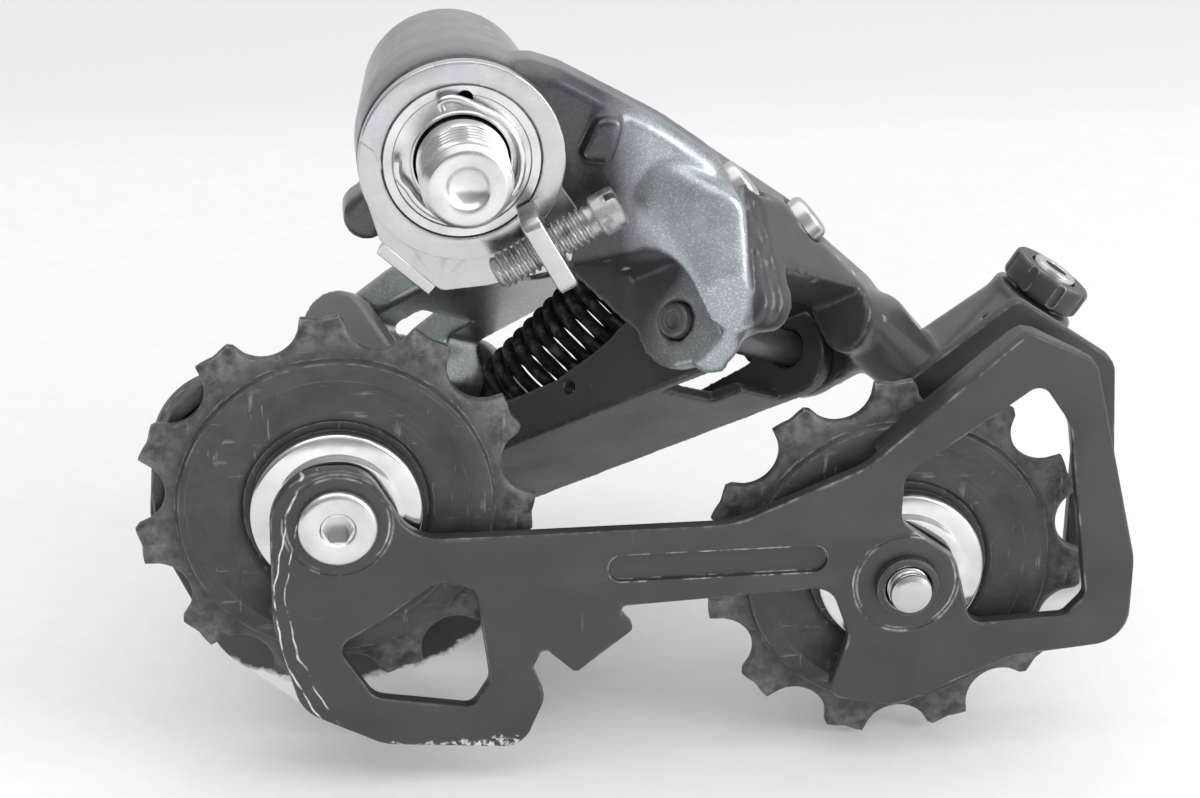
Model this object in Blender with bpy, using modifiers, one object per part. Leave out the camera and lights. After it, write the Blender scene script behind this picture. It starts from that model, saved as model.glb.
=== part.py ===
"""Rear derailleur for a bicycle, built as separate pieces in the rest position.

The origin is on the axis of the mounting bolt, where the bolt's shoulder meets the dropout.
X points to the rear of the bicycle, Y outboard (away from the wheel) and Z up. All the sizes
below are millimetres, and `MM` brings them to metres.
"""

import math

import bmesh
import bpy
from mathutils import Matrix, Vector

MM = 0.001
GAP = 0.3  # space left between two pieces that would touch

# Pulleys and chain
CHAIN_PITCH = 12.7
PULLEY_TEETH = 11
ROLLER_R = 3.96
TOOTH_THICK = 1.9
PULLEY_Y = -2.8  # mid-plane of both pulleys
GUIDE_X, GUIDE_Z = -14.8, -37.6
TENSION_X, TENSION_Z = 48.0, -48.0
CAP_R = 9.5
BUSH_R = 4.0
PULLEY_BOLT_R = 2.4

# Cage
PLATE_THICK = 1.8
PLATE_GAP = 8.8  # between the inner faces of the two plates
P_AXLE_X, P_AXLE_Z = -10.5, -48.0

# Link pins: direction of their near (inboard) end, and the direction of the links at rest
PIN_DIR = Vector((-0.660, -0.620, 0.424)).normalized()
LINK_DIR = Vector((-0.742, 0.452, -0.495))
PIN_NEAR = Vector((23.4, 3.0, -20.2))  # near end of the inner link's pin in the B-knuckle
PIN_LONG = 28.0
PIN_R = 2.0
EAR_THICK = 2.6
LINK_LONG = 40.0  # pin to pin
LINK_APART = 15.5  # pin to pin between the two links
LINK_SKEW = math.radians(32.5)
LINK_END_R = 4.8
SPRING_R = 5.6
SPRING_WIRE = 1.5

# B-knuckle
BARREL_R = 11.2
BARREL_FAR_R = 9.4
BARREL_LONG = 28.5
BOLT_R = 4.95
BOLT_NOSE = 8.5
ARM_THICK = 7.0
CASING_DIR = Vector((0.54, -0.03, 0.835)).normalized()
STOP_CENTRE = Vector((68.7, 25.2, -30.0))  # boss that takes the cable casing

# Limit screws
SCREW_AXIS = Vector((0.80, 0.10, 0.60)).normalized()
SCREWS = (Vector((31.4, 8.0, -7.0)), Vector((39.6, 11.5, -12.7)))  # middles of the two heads

# P-knuckle
P_HOUSING_R = 10.5
P_HOUSING_LONG = 11.0

# Derived sizes
PITCH_R = CHAIN_PITCH / (2 * math.sin(math.pi / PULLEY_TEETH))
TIP_R = PITCH_R - 0.34
PLATE_IN = PULLEY_Y - PLATE_GAP / 2  # inner face of the inboard plate
PLATE_OUT = PULLEY_Y + PLATE_GAP / 2  # inner face of the outboard plate
P_FACE_Y = PLATE_OUT + PLATE_THICK + 1.6
LINK_WIDE = PIN_LONG - 2 * EAR_THICK - 2 * GAP
LINK_U = -EAR_THICK - GAP  # near face of both links
FAR_EAR = -PIN_LONG + EAR_THICK
SKEW_V = LINK_APART * math.sin(LINK_SKEW)
SKEW_W = LINK_APART * math.cos(LINK_SKEW)

for old in list(bpy.data.objects):
    bpy.data.objects.remove(old)
parts = bpy.data.collections.new("rear_derailleur")
bpy.context.scene.collection.children.link(parts)
materials = {}


# ---------------------------------------------------------------- helpers
def material(name, colour, metallic, roughness):
    made = bpy.data.materials.new(name)
    made.use_nodes = True
    shader = made.node_tree.nodes["Principled BSDF"]
    shader.inputs["Base Color"].default_value = (*colour, 1)
    shader.inputs["Metallic"].default_value = metallic
    shader.inputs["Roughness"].default_value = roughness
    materials[name] = made


def frame(origin, x_axis, y_axis):
    """A matrix whose local X, Y and Z lie along the given axes, with its origin in millimetres."""
    x_axis = Vector(x_axis).normalized()
    z_axis = x_axis.cross(Vector(y_axis)).normalized()
    y_axis = z_axis.cross(x_axis)
    matrix = Matrix((x_axis, y_axis, z_axis)).transposed().to_4x4()
    matrix.translation = Vector(origin) * MM
    return matrix


def along_y(x, y, z):
    """Local X is world X, local Y is world Z, and local Z points inboard."""
    return frame((x, y, z), (1, 0, 0), (0, 0, 1))


def about(origin, axis):
    """Local Z lies along the axis."""
    axis = Vector(axis).normalized()
    side = axis.cross(Vector((0, 1, 0) if abs(axis.y) < 0.9 else (0, 0, 1)))
    return frame(origin, side, axis.cross(side))


W_DIR = LINK_DIR.cross(PIN_DIR).normalized()
LINK_DIR = PIN_DIR.cross(W_DIR)


def pin_frame(u):
    """Local X is across the links, local Y is along them and local Z is along the pins."""
    return frame(PIN_NEAR + PIN_DIR * u, W_DIR, LINK_DIR)


def in_pins(u, v, w):
    return PIN_NEAR + PIN_DIR * u + LINK_DIR * v + W_DIR * w


def clean(mesh):
    shape = bmesh.new()
    shape.from_mesh(mesh)
    bmesh.ops.remove_doubles(shape, verts=shape.verts, dist=1e-6)
    bmesh.ops.dissolve_degenerate(shape, edges=shape.edges, dist=1e-6)
    bmesh.ops.recalc_face_normals(shape, faces=shape.faces)
    shape.to_mesh(mesh)
    shape.free()


def bake(obj):
    """Replaces an object by a plain mesh of its evaluated shape."""
    bpy.context.view_layer.update()
    evaluated = obj.evaluated_get(bpy.context.evaluated_depsgraph_get())
    mesh = bpy.data.meshes.new_from_object(evaluated)
    clean(mesh)
    made = bpy.data.objects.new(obj.name, mesh)
    made.matrix_world = obj.matrix_world
    name = obj.name
    bpy.data.objects.remove(obj)
    made.name = name
    parts.objects.link(made)
    return made


def new_object(name, data, matrix=None):
    obj = bpy.data.objects.new(name, data)
    parts.objects.link(obj)
    if matrix is not None:
        obj.matrix_world = matrix
    return obj


def circle(x, y, radius, count=24):
    turn = 2 * math.pi / count
    return [(x + radius * math.cos(i * turn), y + radius * math.sin(i * turn)) for i in range(count)]


def rounded(corners, step=18):
    """Outline through corners given as (x, y, radius), with an arc at each corner."""
    points = []
    for i, (x, y, radius) in enumerate(corners):
        here = Vector((x, y))
        before = (Vector(corners[i - 1][:2]) - here).normalized()
        after = (Vector(corners[(i + 1) % len(corners)][:2]) - here).normalized()
        if radius <= 0:
            points.append((x, y))
            continue
        half = before.angle(after) / 2
        reach = radius / math.tan(half)
        middle = here + (before + after).normalized() * (radius / math.sin(half))
        start = here + before * reach - middle
        sweep = math.pi - 2 * half
        turn = 1 if before.cross(after) < 0 else -1
        count = max(1, round(math.degrees(sweep) / step))
        for k in range(count + 1):
            arm = start.copy()
            arm.rotate(Matrix.Rotation(turn * sweep * k / count, 2))
            points.append(tuple(middle + arm))
    return points


def plate(name, matrix, thick, outline, holes=(), bevel=0.0, low=0.0):
    """A flat piece from local z = low to low + thick, with its holes and a rounded edge."""
    curve = bpy.data.curves.new(name, "CURVE")
    curve.dimensions = "2D"
    curve.fill_mode = "BOTH"
    curve.extrude = (thick / 2 - bevel) * MM
    curve.bevel_depth = bevel * MM
    curve.bevel_resolution = 0
    curve.offset = -bevel * MM
    for loop in (outline, *holes):
        spline = curve.splines.new("POLY")
        spline.points.add(len(loop) - 1)
        for point, (x, y) in zip(spline.points, loop):
            point.co = (x * MM, y * MM, 0, 1)
        spline.use_cyclic_u = True
    obj = new_object(name, curve, matrix @ Matrix.Translation((0, 0, (low + thick / 2) * MM)))
    return bake(obj)


def turned(name, matrix, profile, steps=32):
    """A piece of revolution about local Z from (radius, height) pairs."""
    mesh = bpy.data.meshes.new(name)
    closed = profile[0][0] > 0 or profile[-1][0] > 0
    count = len(profile)
    edges = [(i, i + 1) for i in range(count - 1)] + ([(count - 1, 0)] if closed else [])
    mesh.from_pydata([(r * MM, 0, z * MM) for r, z in profile], edges, [])
    obj = new_object(name, mesh, matrix)
    screw = obj.modifiers.new("Turn", "SCREW")
    screw.steps = screw.render_steps = steps
    screw.use_merge_vertices = True
    screw.merge_threshold = 1e-6
    return bake(obj)


def rod(name, matrix, radius, low, high, steps=18, chamfer=0.0):
    c = chamfer
    if c:
        profile = [
            (0, low), (radius - c, low), (radius, low + c), (radius, high - c), (radius - c, high),
            (0, high)]
    else:
        profile = [(0, low), (radius, low), (radius, high), (0, high)]
    return turned(name, matrix, profile, steps)


def ring(name, matrix, inner, outer, low, high, steps=32, chamfer=0.0):
    c = chamfer
    profile = [
        (inner, low), (outer - c, low), (outer, low + c), (outer, high - c), (outer - c, high),
        (inner, high)]
    if not c:
        profile = [(inner, low), (outer, low), (outer, high), (inner, high)]
    return turned(name, matrix, profile, steps)


def hull(name, sources):
    """The convex hull of other objects, which it takes the place of."""
    shape = bmesh.new()
    for source in sources:
        for vertex in source.data.vertices:
            shape.verts.new(source.matrix_world @ vertex.co)
        bpy.data.objects.remove(source)
    bmesh.ops.convex_hull(shape, input=shape.verts)
    loose = [v for v in shape.verts if not v.link_faces]
    bmesh.ops.delete(shape, geom=loose, context="VERTS")
    bmesh.ops.dissolve_limit(shape, angle_limit=0.01, verts=shape.verts, edges=shape.edges)
    mesh = bpy.data.meshes.new(name)
    shape.to_mesh(mesh)
    shape.free()
    clean(mesh)
    return new_object(name, mesh)


def combine(obj, others, operation):
    for other in others:
        boolean = obj.modifiers.new("Boolean", "BOOLEAN")
        boolean.operation = operation
        boolean.solver = "EXACT"
        boolean.object = other
        obj = bake(obj)
        bpy.data.objects.remove(other)
    return obj


def join(obj, *others):
    return combine(obj, others, "UNION")


def cut(obj, *others):
    return combine(obj, others, "DIFFERENCE")


def wire(name, points, radius, cyclic=False, matrix=None, sides=2):
    curve = bpy.data.curves.new(name, "CURVE")
    curve.dimensions = "3D"
    curve.bevel_depth = radius * MM
    curve.bevel_resolution = sides
    curve.use_fill_caps = True
    spline = curve.splines.new("POLY")
    spline.points.add(len(points) - 1)
    for point, place in zip(spline.points, points):
        point.co = (*(Vector(place) * MM), 1)
    spline.use_cyclic_u = cyclic
    return bake(new_object(name, curve, matrix))


def coil_points(radius, low, high, turns, per_turn=14, start=0.0):
    count = round(turns * per_turn)
    points = []
    for i in range(count + 1):
        angle = start + 2 * math.pi * turns * i / count
        points.append((radius * math.cos(angle), radius * math.sin(angle), low + (high - low) * i / count))
    return points


def thread(radius, depth, low, high, pitch):
    """Profile points of thread ridges between two heights, going up."""
    count = max(1, int((high - low) / pitch))
    points = []
    for i in range(count):
        z = low + i * pitch
        points += [(radius - depth, z), (radius, z + pitch / 2)]
    return points + [(radius - depth, low + count * pitch)]


def strip(points, wide):
    """Outline of a band that follows an open line of points, on its left side."""
    line = [Vector(p) for p in points]
    inner = []
    for i, here in enumerate(line):
        ahead = line[min(i + 1, len(line) - 1)] - line[max(i - 1, 0)]
        normal = Vector((-ahead.y, ahead.x)).normalized()
        inner.append(tuple(here + normal * wide))
    return [tuple(p) for p in line] + inner[::-1]


def finish(obj, name, finish_name):
    obj.name = name
    obj.data.name = name
    obj.data.materials.clear()
    obj.data.materials.append(materials[finish_name])
    for polygon in obj.data.polygons:
        polygon.material_index = 0
        polygon.use_smooth = True
    obj.data.set_sharp_from_angle(angle=math.radians(35))
    return obj


def vw(corners):
    """Turns (along the link, across it, radius) into the pin frame's own order."""
    return [(w, v, r) for v, w, r in corners][::-1]


material("black_paint", (0.035, 0.035, 0.037), 0.0, 0.45)
material("anthracite", (0.16, 0.18, 0.18), 0.9, 0.35)
material("black_resin", (0.04, 0.04, 0.042), 0.0, 0.6)
material("zinc_plate", (0.70, 0.70, 0.72), 1.0, 0.25)
material("dark_steel", (0.12, 0.12, 0.13), 1.0, 0.35)


# ---------------------------------------------------------------- cage plates
CAGE_IN = along_y(0, PLATE_IN, 0)  # local Z from 0 to PLATE_THICK is the inboard plate
CAGE_OUT = along_y(0, PLATE_OUT + PLATE_THICK, 0)  # the same for the outboard plate

inner_outline = rounded([
    (GUIDE_X - 7.2, GUIDE_Z + 6.6, 6.4), (GUIDE_X + 3.2, GUIDE_Z + 6.4, 4.5), (-6.6, -39.9, 5.5),
    (28.5, -39.9, 12.0), (43.0, -33.8, 4.0), (60.4, -18.6, 1.4), (68.2, -22.4, 2.6), (74.0, -46.5, 8.0),
    (73.9, -56.8, 4.2), (60.5, -58.0, 6.0), (47.5, -63.6, 5.0), (39.4, -61.9, 1.6), (41.8, -54.4, 3.0),
    (39.6, -48.2, 2.8), (15.4, -49.2, 0.3), (17.6, -52.0, 0.3), (11.0, -57.2, 0.5), (7.4, -53.8, 0.4),
    (6.2, -56.4, 0.4), (7.6, -60.0, 2.5), (5.0, -66.2, 3.2), (-10.5, -64.9, 6.0), (-19.5, -60.2, 5.0),
    (-22.3, -49.0, 12.0),
], 26)
window = rounded([
    (58.9, -27.0, 1.4), (62.2, -24.6, 1.6), (65.6, -29.6, 4.0), (68.6, -50.8, 1.6), (66.4, -53.2, 1.2),
    (55.6, -53.6, 2.0), (53.6, -45.4, 3.0), (47.2, -40.6, 2.4), (47.4, -35.0, 2.2),
], 22)
guide_hole = rounded([
    (-4.2, -45.0, 2.4), (0.0, -46.2, 1.6), (1.4, -57.6, 2.2), (-0.6, -60.8, 1.4), (-11.4, -59.0, 2.6),
    (-15.4, -52.4, 1.7), (-9.6, -49.0, 3.0),
], 22)
slot = rounded([(14.6, -42.9, 1.5), (14.6, -46.1, 1.5), (39.0, -46.1, 1.5), (39.0, -42.9, 1.5)])
inner_plate = plate(
    "cage_inner_plate", CAGE_IN, PLATE_THICK, inner_outline,
    [circle(GUIDE_X, GUIDE_Z, PULLEY_BOLT_R + 0.25), circle(TENSION_X, TENSION_Z, PULLEY_BOLT_R + 0.25),
     window, guide_hole], 0.35,
)
flange = plate(
    "flange", CAGE_IN, 3.2, strip([
        (44.5, -32.4), (59.6, -19.5), (60.8, -19.3), (67.4, -22.6), (71.6, -37.4)], -1.6), low=-2.6,
)
groove = plate("groove", CAGE_IN, 1.0, slot, low=PLATE_THICK - 0.7)
inner_plate = cut(join(inner_plate, flange), groove)
finish(inner_plate, "cage_inner_plate", "black_paint")

outer_outline = rounded([
    (GUIDE_X - 19.0, GUIDE_Z + 14.4, 9.0), (GUIDE_X + 7.0, GUIDE_Z + 13.0, 9.0), (3.0, -46.2, 8.0),
    (32.0, -45.8, 12.0), (44.0, -32.5, 4.0), (61.8, -18.8, 1.6), (73.4, -26.8, 3.0), (74.8, -50.0, 7.0),
    (72.0, -57.6, 4.2), (56.0, -60.0, 8.0), (42.0, -58.4, 4.0), (38.6, -50.8, 4.0), (14.0, -51.2, 6.0),
    (1.0, -65.6, 6.0), (-15.0, -68.8, 6.0), (-28.2, -57.8, 10.0), (-35.4, -41.8, 10.0),
], 26)
outer_window = rounded([
    (59.6, -27.2, 1.6), (64.0, -25.2, 2.0), (69.4, -30.6, 3.0), (69.0, -52.0, 2.6), (56.2, -54.0, 2.2),
    (54.0, -45.6, 3.0), (49.4, -41.0, 2.4), (49.6, -35.0, 2.2),
], 22)
outer_plate = plate(
    "cage_outer_plate", CAGE_OUT, PLATE_THICK, outer_outline,
    [circle(GUIDE_X, GUIDE_Z, PULLEY_BOLT_R + 0.25), circle(TENSION_X, TENSION_Z, PULLEY_BOLT_R + 0.25),
     circle(P_AXLE_X, P_AXLE_Z, 4.0 + 0.25), outer_window],
)
rim = plate(
    "rim", CAGE_OUT, 3.5, strip([
        (-28.6, -23.6), (-32.2, -26.6), (-34.2, -31.0), (-34.8, -36.0), (-34.6, -40.4)], 1.6),
    low=PLATE_THICK - 0.6,
)
outer_plate = join(outer_plate, rim)
finish(outer_plate, "cage_outer_plate", "black_paint")


# ---------------------------------------------------------------- pulleys
def gear_outline(phase=math.pi / 2):
    """Teeth with flat tips and a round seat for the roller between each two."""
    points = []
    step = 2 * math.pi / PULLEY_TEETH
    for i in range(PULLEY_TEETH):
        seat = phase + (i + 0.5) * step
        tooth = phase + i * step
        for spread in (-0.096, 0.096):
            points.append((TIP_R * math.cos(tooth + spread), TIP_R * math.sin(tooth + spread)))
        x, y = PITCH_R * math.cos(seat), PITCH_R * math.sin(seat)
        for k in (-1.5, -0.5, 0.5, 1.5):
            angle = seat + math.pi - k * math.radians(41)
            points.append((x + ROLLER_R * math.cos(angle), y + ROLLER_R * math.sin(angle)))
    return points


def pulley(prefix, x, z):
    here = along_y(x, PULLEY_Y, z)
    inside = circle(0, 0, 14.0, 28)
    teeth = plate(prefix, here, TOOTH_THICK, gear_outline(), [inside], 0.25, -TOOTH_THICK / 2)
    side = [
        (BUSH_R + GAP, 2.7), (6.2, 2.7), (6.4, 1.2), (10.3, 1.2), (10.4, 1.5), (15.3, 2.1), (17.2, 2.1),
        (17.7, 0.8)]
    body = turned("body", here, [(r, -h) for r, h in side] + [(r, h) for r, h in side[::-1]], 30)
    finish(join(teeth, body), prefix + "_pulley", "black_resin")
    half = PLATE_GAP / 2 - GAP
    finish(ring("bush", here, PULLEY_BOLT_R + 0.25, BUSH_R, -half, half), prefix + "_bushing", "zinc_plate")
    top = half - 0.1
    lid = [
        (BUSH_R + GAP, top - 1.0), (CAP_R - 0.8, top - 1.0), (CAP_R - 0.8, 1.7), (CAP_R, 1.7),
        (CAP_R, top - 0.6), (CAP_R - 0.6, top), (BUSH_R + GAP, top)]
    finish(turned("lid", here, lid, 26), prefix + "_cap_inner", "zinc_plate")
    under = [(r, -h) for r, h in lid]
    finish(turned("lid", here, under, 26), prefix + "_cap_outer", "zinc_plate")
    return here


def hexagon(across):
    return circle(0, 0, across / math.sqrt(3), 6)


here = pulley("guide", GUIDE_X, GUIDE_Z)
face_in = PLATE_GAP / 2 + PLATE_THICK
guide_bolt = turned("guide_bolt", here, [
    (0, -face_in - 1.2), (PULLEY_BOLT_R - 0.4, -face_in - 1.2), (PULLEY_BOLT_R, -face_in - 0.8),
    (PULLEY_BOLT_R, face_in + GAP), (4.35, face_in + GAP), (4.35, face_in + 1.0), (3.95, face_in + 1.4),
    (0, face_in + 1.4)], 24)
socket = plate("socket", here, 3.0, hexagon(3.0), low=face_in - 1.2)
finish(cut(guide_bolt, socket), "guide_bolt", "zinc_plate")

here = pulley("tension", TENSION_X, TENSION_Z)
tension_bolt = turned("tension_bolt", here, [
    (0, -face_in - 2.0), (3.6, -face_in - 2.0), (4.0, -face_in - 1.6), (4.0, -face_in - GAP),
    (PULLEY_BOLT_R, -face_in - GAP), (PULLEY_BOLT_R, face_in + 2.9), (PULLEY_BOLT_R - 0.4, face_in + 3.2),
    (0, face_in + 3.2)], 20)
socket = plate("socket", here, 3.0, hexagon(3.0), low=-face_in - 3.6)
finish(cut(tension_bolt, socket), "tension_bolt", "zinc_plate")
collar = ring("collar", here, PULLEY_BOLT_R + 0.25, 3.5, face_in + GAP, face_in + 1.5, 22, 0.3)
finish(collar, "tension_collar", "black_paint")


# ---------------------------------------------------------------- cage pivot
here = along_y(P_AXLE_X, 0, P_AXLE_Z)
P_AXLE_R = 4.0
p_end = P_FACE_Y + P_HOUSING_LONG
p_axle = rod("p_axle", here, P_AXLE_R, -p_end - 1.9, -PLATE_OUT - 0.15, 28, 0.4)
finish(p_axle, "p_axle", "zinc_plate")
seal_low = -(P_FACE_Y - GAP)
seal_high = -(PLATE_OUT + PLATE_THICK + GAP)
finish(ring("p_seal", here, P_AXLE_R + GAP, 8.0, seal_low, seal_high, 26), "p_seal", "black_resin")
stop_angle = math.radians(30)
STOP_PIN_R = 1.5
STOP_R = P_HOUSING_R + STOP_PIN_R + 1.4  # the pin clears the spring housing as the cage swings
stop_x = P_AXLE_X + STOP_R * math.cos(stop_angle)
stop_z = P_AXLE_Z + STOP_R * math.sin(stop_angle)
stop_here = along_y(stop_x, 0, stop_z)
stop_pin = rod("stop", stop_here, STOP_PIN_R, -(P_FACE_Y + 3.5), -(PLATE_OUT + PLATE_THICK + GAP), 20, 0.3)
finish(stop_pin, "cage_stop_pin", "zinc_plate")

housing = turned("housing", here, [
    (P_AXLE_R + GAP, -p_end), (P_HOUSING_R - 1.2, -p_end), (P_HOUSING_R, -p_end + 1.2),
    (P_HOUSING_R, -P_FACE_Y - 0.5), (P_HOUSING_R - 0.5, -P_FACE_Y), (7.9, -P_FACE_Y), (7.9, -p_end + 2.0),
    (P_AXLE_R + GAP, -p_end + 2.0)], 32)
spring_low = -(p_end - 2.0 - 0.9 - GAP)
spring_high = -(P_FACE_Y + 0.9)
p_coil = coil_points(6.55, spring_low, spring_high, 4.2, 12)
finish(wire("p_spring", p_coil, 0.75, matrix=here, sides=1), "p_spring", "dark_steel")
p_cap = ring("p_cap", here, P_AXLE_R + GAP, 7.0, -(p_end + 1.4), -(p_end + GAP), 26, 0.3)
finish(p_cap, "p_cap", "zinc_plate")


# ---------------------------------------------------------------- P-knuckle
def pin_disc(name, v, w, radius, low, high, steps=18):
    return rod(name, frame(in_pins(0, v, w), W_DIR, LINK_DIR), radius, low, high, steps)


PI_V, PO_V = LINK_LONG, LINK_LONG + SKEW_V
near = (-EAR_THICK - 0.6, 0.0)  # the ears start thick, and the room for the links trims them
far = (-PIN_LONG, FAR_EAR + 0.6)
p_knuckle = hull("p_near_ear", [
    pin_disc("a", PI_V, 0, 5.2, *near), pin_disc("b", PO_V - 0.4, SKEW_W + 2.0, 5.4, *near),
    pin_disc("c", PO_V + 8, SKEW_W - 5, 3.5, *near)])
far_ear = hull("p_far_ear", [
    pin_disc("a", PI_V, 0, 4.4, *far), pin_disc("b", PO_V, SKEW_W, 5.2, *far),
    pin_disc("c", PO_V + 8, SKEW_W - 5, 3.5, *far)])
spine = hull("p_spine", [
    pin_disc("a", PI_V + 10, -1.0, 3.6, -PIN_LONG + 0.3, -0.3),
    pin_disc("b", PO_V + 11, SKEW_W - 3, 3.4, -PIN_LONG + 0.3, -0.3)])
neck = hull("p_neck", [
    rod("a", here, P_HOUSING_R - 1.5, -p_end, -P_FACE_Y - 4.0, 28),
    pin_disc("b", PI_V + 9, -2.0, 4.0, -16.0, -0.5), pin_disc("c", PO_V + 6, SKEW_W - 7, 4.0, -8.0, -0.5)])
lug_angle = stop_angle + math.radians(17.5)
lug = plate("lug", along_y(P_AXLE_X, P_FACE_Y + 6.0, P_AXLE_Z), 5.4, [
    (reach * math.cos(lug_angle + turn), reach * math.sin(lug_angle + turn)) for reach, turn in (
        (STOP_R - 4.4, -0.12), (STOP_R + 1.6, -0.165), (STOP_R + 1.6, 0.12), (STOP_R - 4.4, 0.22))])
link_room = plate("link_room", pin_frame(FAR_EAR), FAR_EAR * -1 - EAR_THICK, rounded(vw([
    (PI_V - 90, -6.2, 0), (PI_V + 2.0, -6.2, 4.0), (PI_V + 6.4, -1.0, 3.0), (PI_V + 7.0, 4.0, 2.0),
    (PO_V + 7.6, SKEW_W - 4.5, 2.0), (PO_V + 7.6, SKEW_W + 90, 0), (PI_V - 90, SKEW_W + 90, 0)])))
spring_room = rod("spring_room", here, 7.9, -p_end + 2.0, -P_FACE_Y + 1.0, 32)
axle_room = rod("axle_room", here, P_AXLE_R + GAP, -p_end - 9, -P_FACE_Y + 1, 32)
cap_room = rod("cap_room", here, 8.0, -p_end - 9.0, -p_end, 32)
p_holes = [pin_disc("h", v, w, PIN_R + 0.25, -PIN_LONG - 1, 1, 20) for v, w in ((PI_V, 0), (PO_V, SKEW_W))]
p_knuckle = join(p_knuckle, far_ear, spine, neck, housing)
p_knuckle = join(cut(p_knuckle, link_room, spring_room, axle_room, cap_room), lug)
p_knuckle = cut(p_knuckle, *p_holes)
finish(p_knuckle, "p_knuckle", "anthracite")


# ---------------------------------------------------------------- links and pins
link_near = pin_frame(LINK_U)
e = LINK_END_R
inner_link = plate("inner_link", link_near, LINK_WIDE, rounded(vw([
    (-e, -5.6, 4.2), (PI_V + e, -5.6, 4.2), (PI_V + e, e, 4.4), (PI_V - 4.5, e, 3.0), (PI_V - 8, 0.6, 6.0),
    (24, -1.2, 20.0), (12, 1.6, 12.0), (5.0, e, 3.0), (-e, e, 4.4)])), low=-LINK_WIDE)
channel = plate("channel", link_near, LINK_WIDE - 4.4, rounded(vw([
    (2.5, -4.2, 1.0), (PI_V + 20, -4.2, 0), (PI_V + 20, 20, 0), (-20, 20, 0), (-20, -9, 0),
    (1.5, -9, 0)])), low=-LINK_WIDE + 2.2)
l_holes = [pin_disc("h", v, 0, PIN_R + 0.25, -PIN_LONG - 1, 1, 20) for v in (0, PI_V)]
peep = pin_disc("peep", 17.6, -1.6, 0.8, -7, 0, 12)
relief = plate("relief", link_near, 10.1, rounded(vw([
    (-9, -9, 0), (6.4, -9, 0), (6.4, -3.6, 0), (-9, -3.6, 0)])), low=-12.0)
low_flange = plate("low_flange", pin_frame(-12.0), 16.0, rounded(vw([
    (-9, 3.5, 0), (2.0, 3.5, 1.0), (5.2, 0.0, 1.5), (25.0, -2.2, 0), (25.0, 12, 0), (-9, 12, 0),
])), low=-16.0)
inner_link = cut(inner_link, channel, *l_holes, peep, relief, low_flange)
finish(inner_link, "inner_link", "black_paint")

o_v, o_w = SKEW_V, SKEW_W
hook_r = PIN_R + GAP + SPRING_WIRE / 2  # the return spring's hooks go round the pins
hook_room_w = hook_r + SPRING_WIRE / 2 + 0.2
outer_link = plate("outer_link", link_near, LINK_WIDE, rounded(vw([
    (o_v - 4.6, o_w - 4.6, 4.4), (o_v + 4.6, o_w - 4.6, 3.6), (o_v + 7.5, o_w + 3.4, 5.0),
    (o_v + 20, o_w + 4.6, 25.0), (PO_V - 3.4, o_w + 3.2, 1.2), (PO_V - 4.4, o_w - 4.6, 3.9),
    (PO_V + 4.8, o_w - 4.6, 4.4),
    (PO_V + 5.0, o_w + 5.4, 5.0), (PO_V - 8, o_w + 8.4, 8.0), (o_v + 20, o_w + 8.8, 30.0),
    (o_v + 6, o_w + 6.8, 8.0), (o_v - 4.6, o_w + 3.6, 4.6)])), bevel=0.5, low=-LINK_WIDE)
o_window = plate("o_window", pin_frame(-18.5), 10.0, rounded(vw([
    (PO_V - 7.8, o_w + 2.4, 0), (PO_V + 20, o_w + 2.4, 0), (PO_V + 20, o_w + 20, 0),
    (PO_V - 7.8, o_w + 20, 0),
])))
hook_room = plate("hook_room", pin_frame(-21.2), 14.0, rounded(vw([
    (o_v - 8, o_w - 9, 0), (o_v + 26, o_w - 9, 0), (o_v + 26, o_w + hook_room_w, 0),
    (o_v - 8, o_w + hook_room_w, 0)])))
o_holes = [pin_disc("h", v, o_w, PIN_R + 0.25, -PIN_LONG - 1, 1, 20) for v in (o_v, PO_V)]
clamp_here = frame(in_pins(-PIN_LONG / 2, o_v + 17.5, o_w + 8.6), LINK_DIR, PIN_DIR)
clamp_hole = rod("clamp_hole", clamp_here, 2.5, -12, 12, 20)
outer_link = cut(outer_link, o_window, hook_room, clamp_hole, *o_holes)
finish(outer_link, "outer_link", "anthracite")

for name, v, w in (
        ("pin_inner_b", 0, 0), ("pin_outer_b", o_v, o_w),
        ("pin_inner_p", PI_V, 0), ("pin_outer_p", PO_V, o_w)):
    pin = turned(name, frame(in_pins(0, v, w), W_DIR, LINK_DIR), [
        (0, -PIN_LONG - 0.5), (PIN_R - 0.4, -PIN_LONG - 0.5), (PIN_R, -PIN_LONG), (PIN_R, 0.2),
        (PIN_R - 0.35, 0.6),
        (0.9, 0.6), (0.7, 0.3), (0, 0.3)], 20)
    finish(pin, name, "zinc_plate")

# Return spring on the diagonal of the four pins: a hook at each end round its pin
diagonal = Vector((PI_V - o_v, -o_w))
span = diagonal.length
spring_axis = (LINK_DIR * diagonal.x + W_DIR * diagonal.y).normalized()
spring_side = spring_axis.cross(PIN_DIR)
spring_frame = frame(in_pins(-PIN_LONG / 2 - 0.2, o_v, o_w), spring_side, spring_axis.cross(spring_side))
body_low, body_high = 7.4, span - 8.6
turns = round((body_high - body_low) / (SPRING_WIRE + 0.25))
hook = [
    (hook_r * math.sin(math.radians(a)), 0, -hook_r * math.cos(math.radians(a)))
    for a in range(-150, 121, 30)]
rise = [(1.5, 0, 4.2), (2.4, 0.6, 5.6), (4.2, 1.2, 6.6)]
body = coil_points(SPRING_R - SPRING_WIRE / 2 + 0.9, body_low, body_high, turns, 10, 0.35)
fall = [(body[-1][0] * 0.55, 1.0, span - 5.4)]
fall += [(-x, y, span - z) for x, y, z in (hook + rise[:1])[::-1]]
finish(wire("return_spring", hook + rise + body + fall, SPRING_WIRE / 2, matrix=spring_frame, sides=1),
       "return_spring", "dark_steel")


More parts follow.
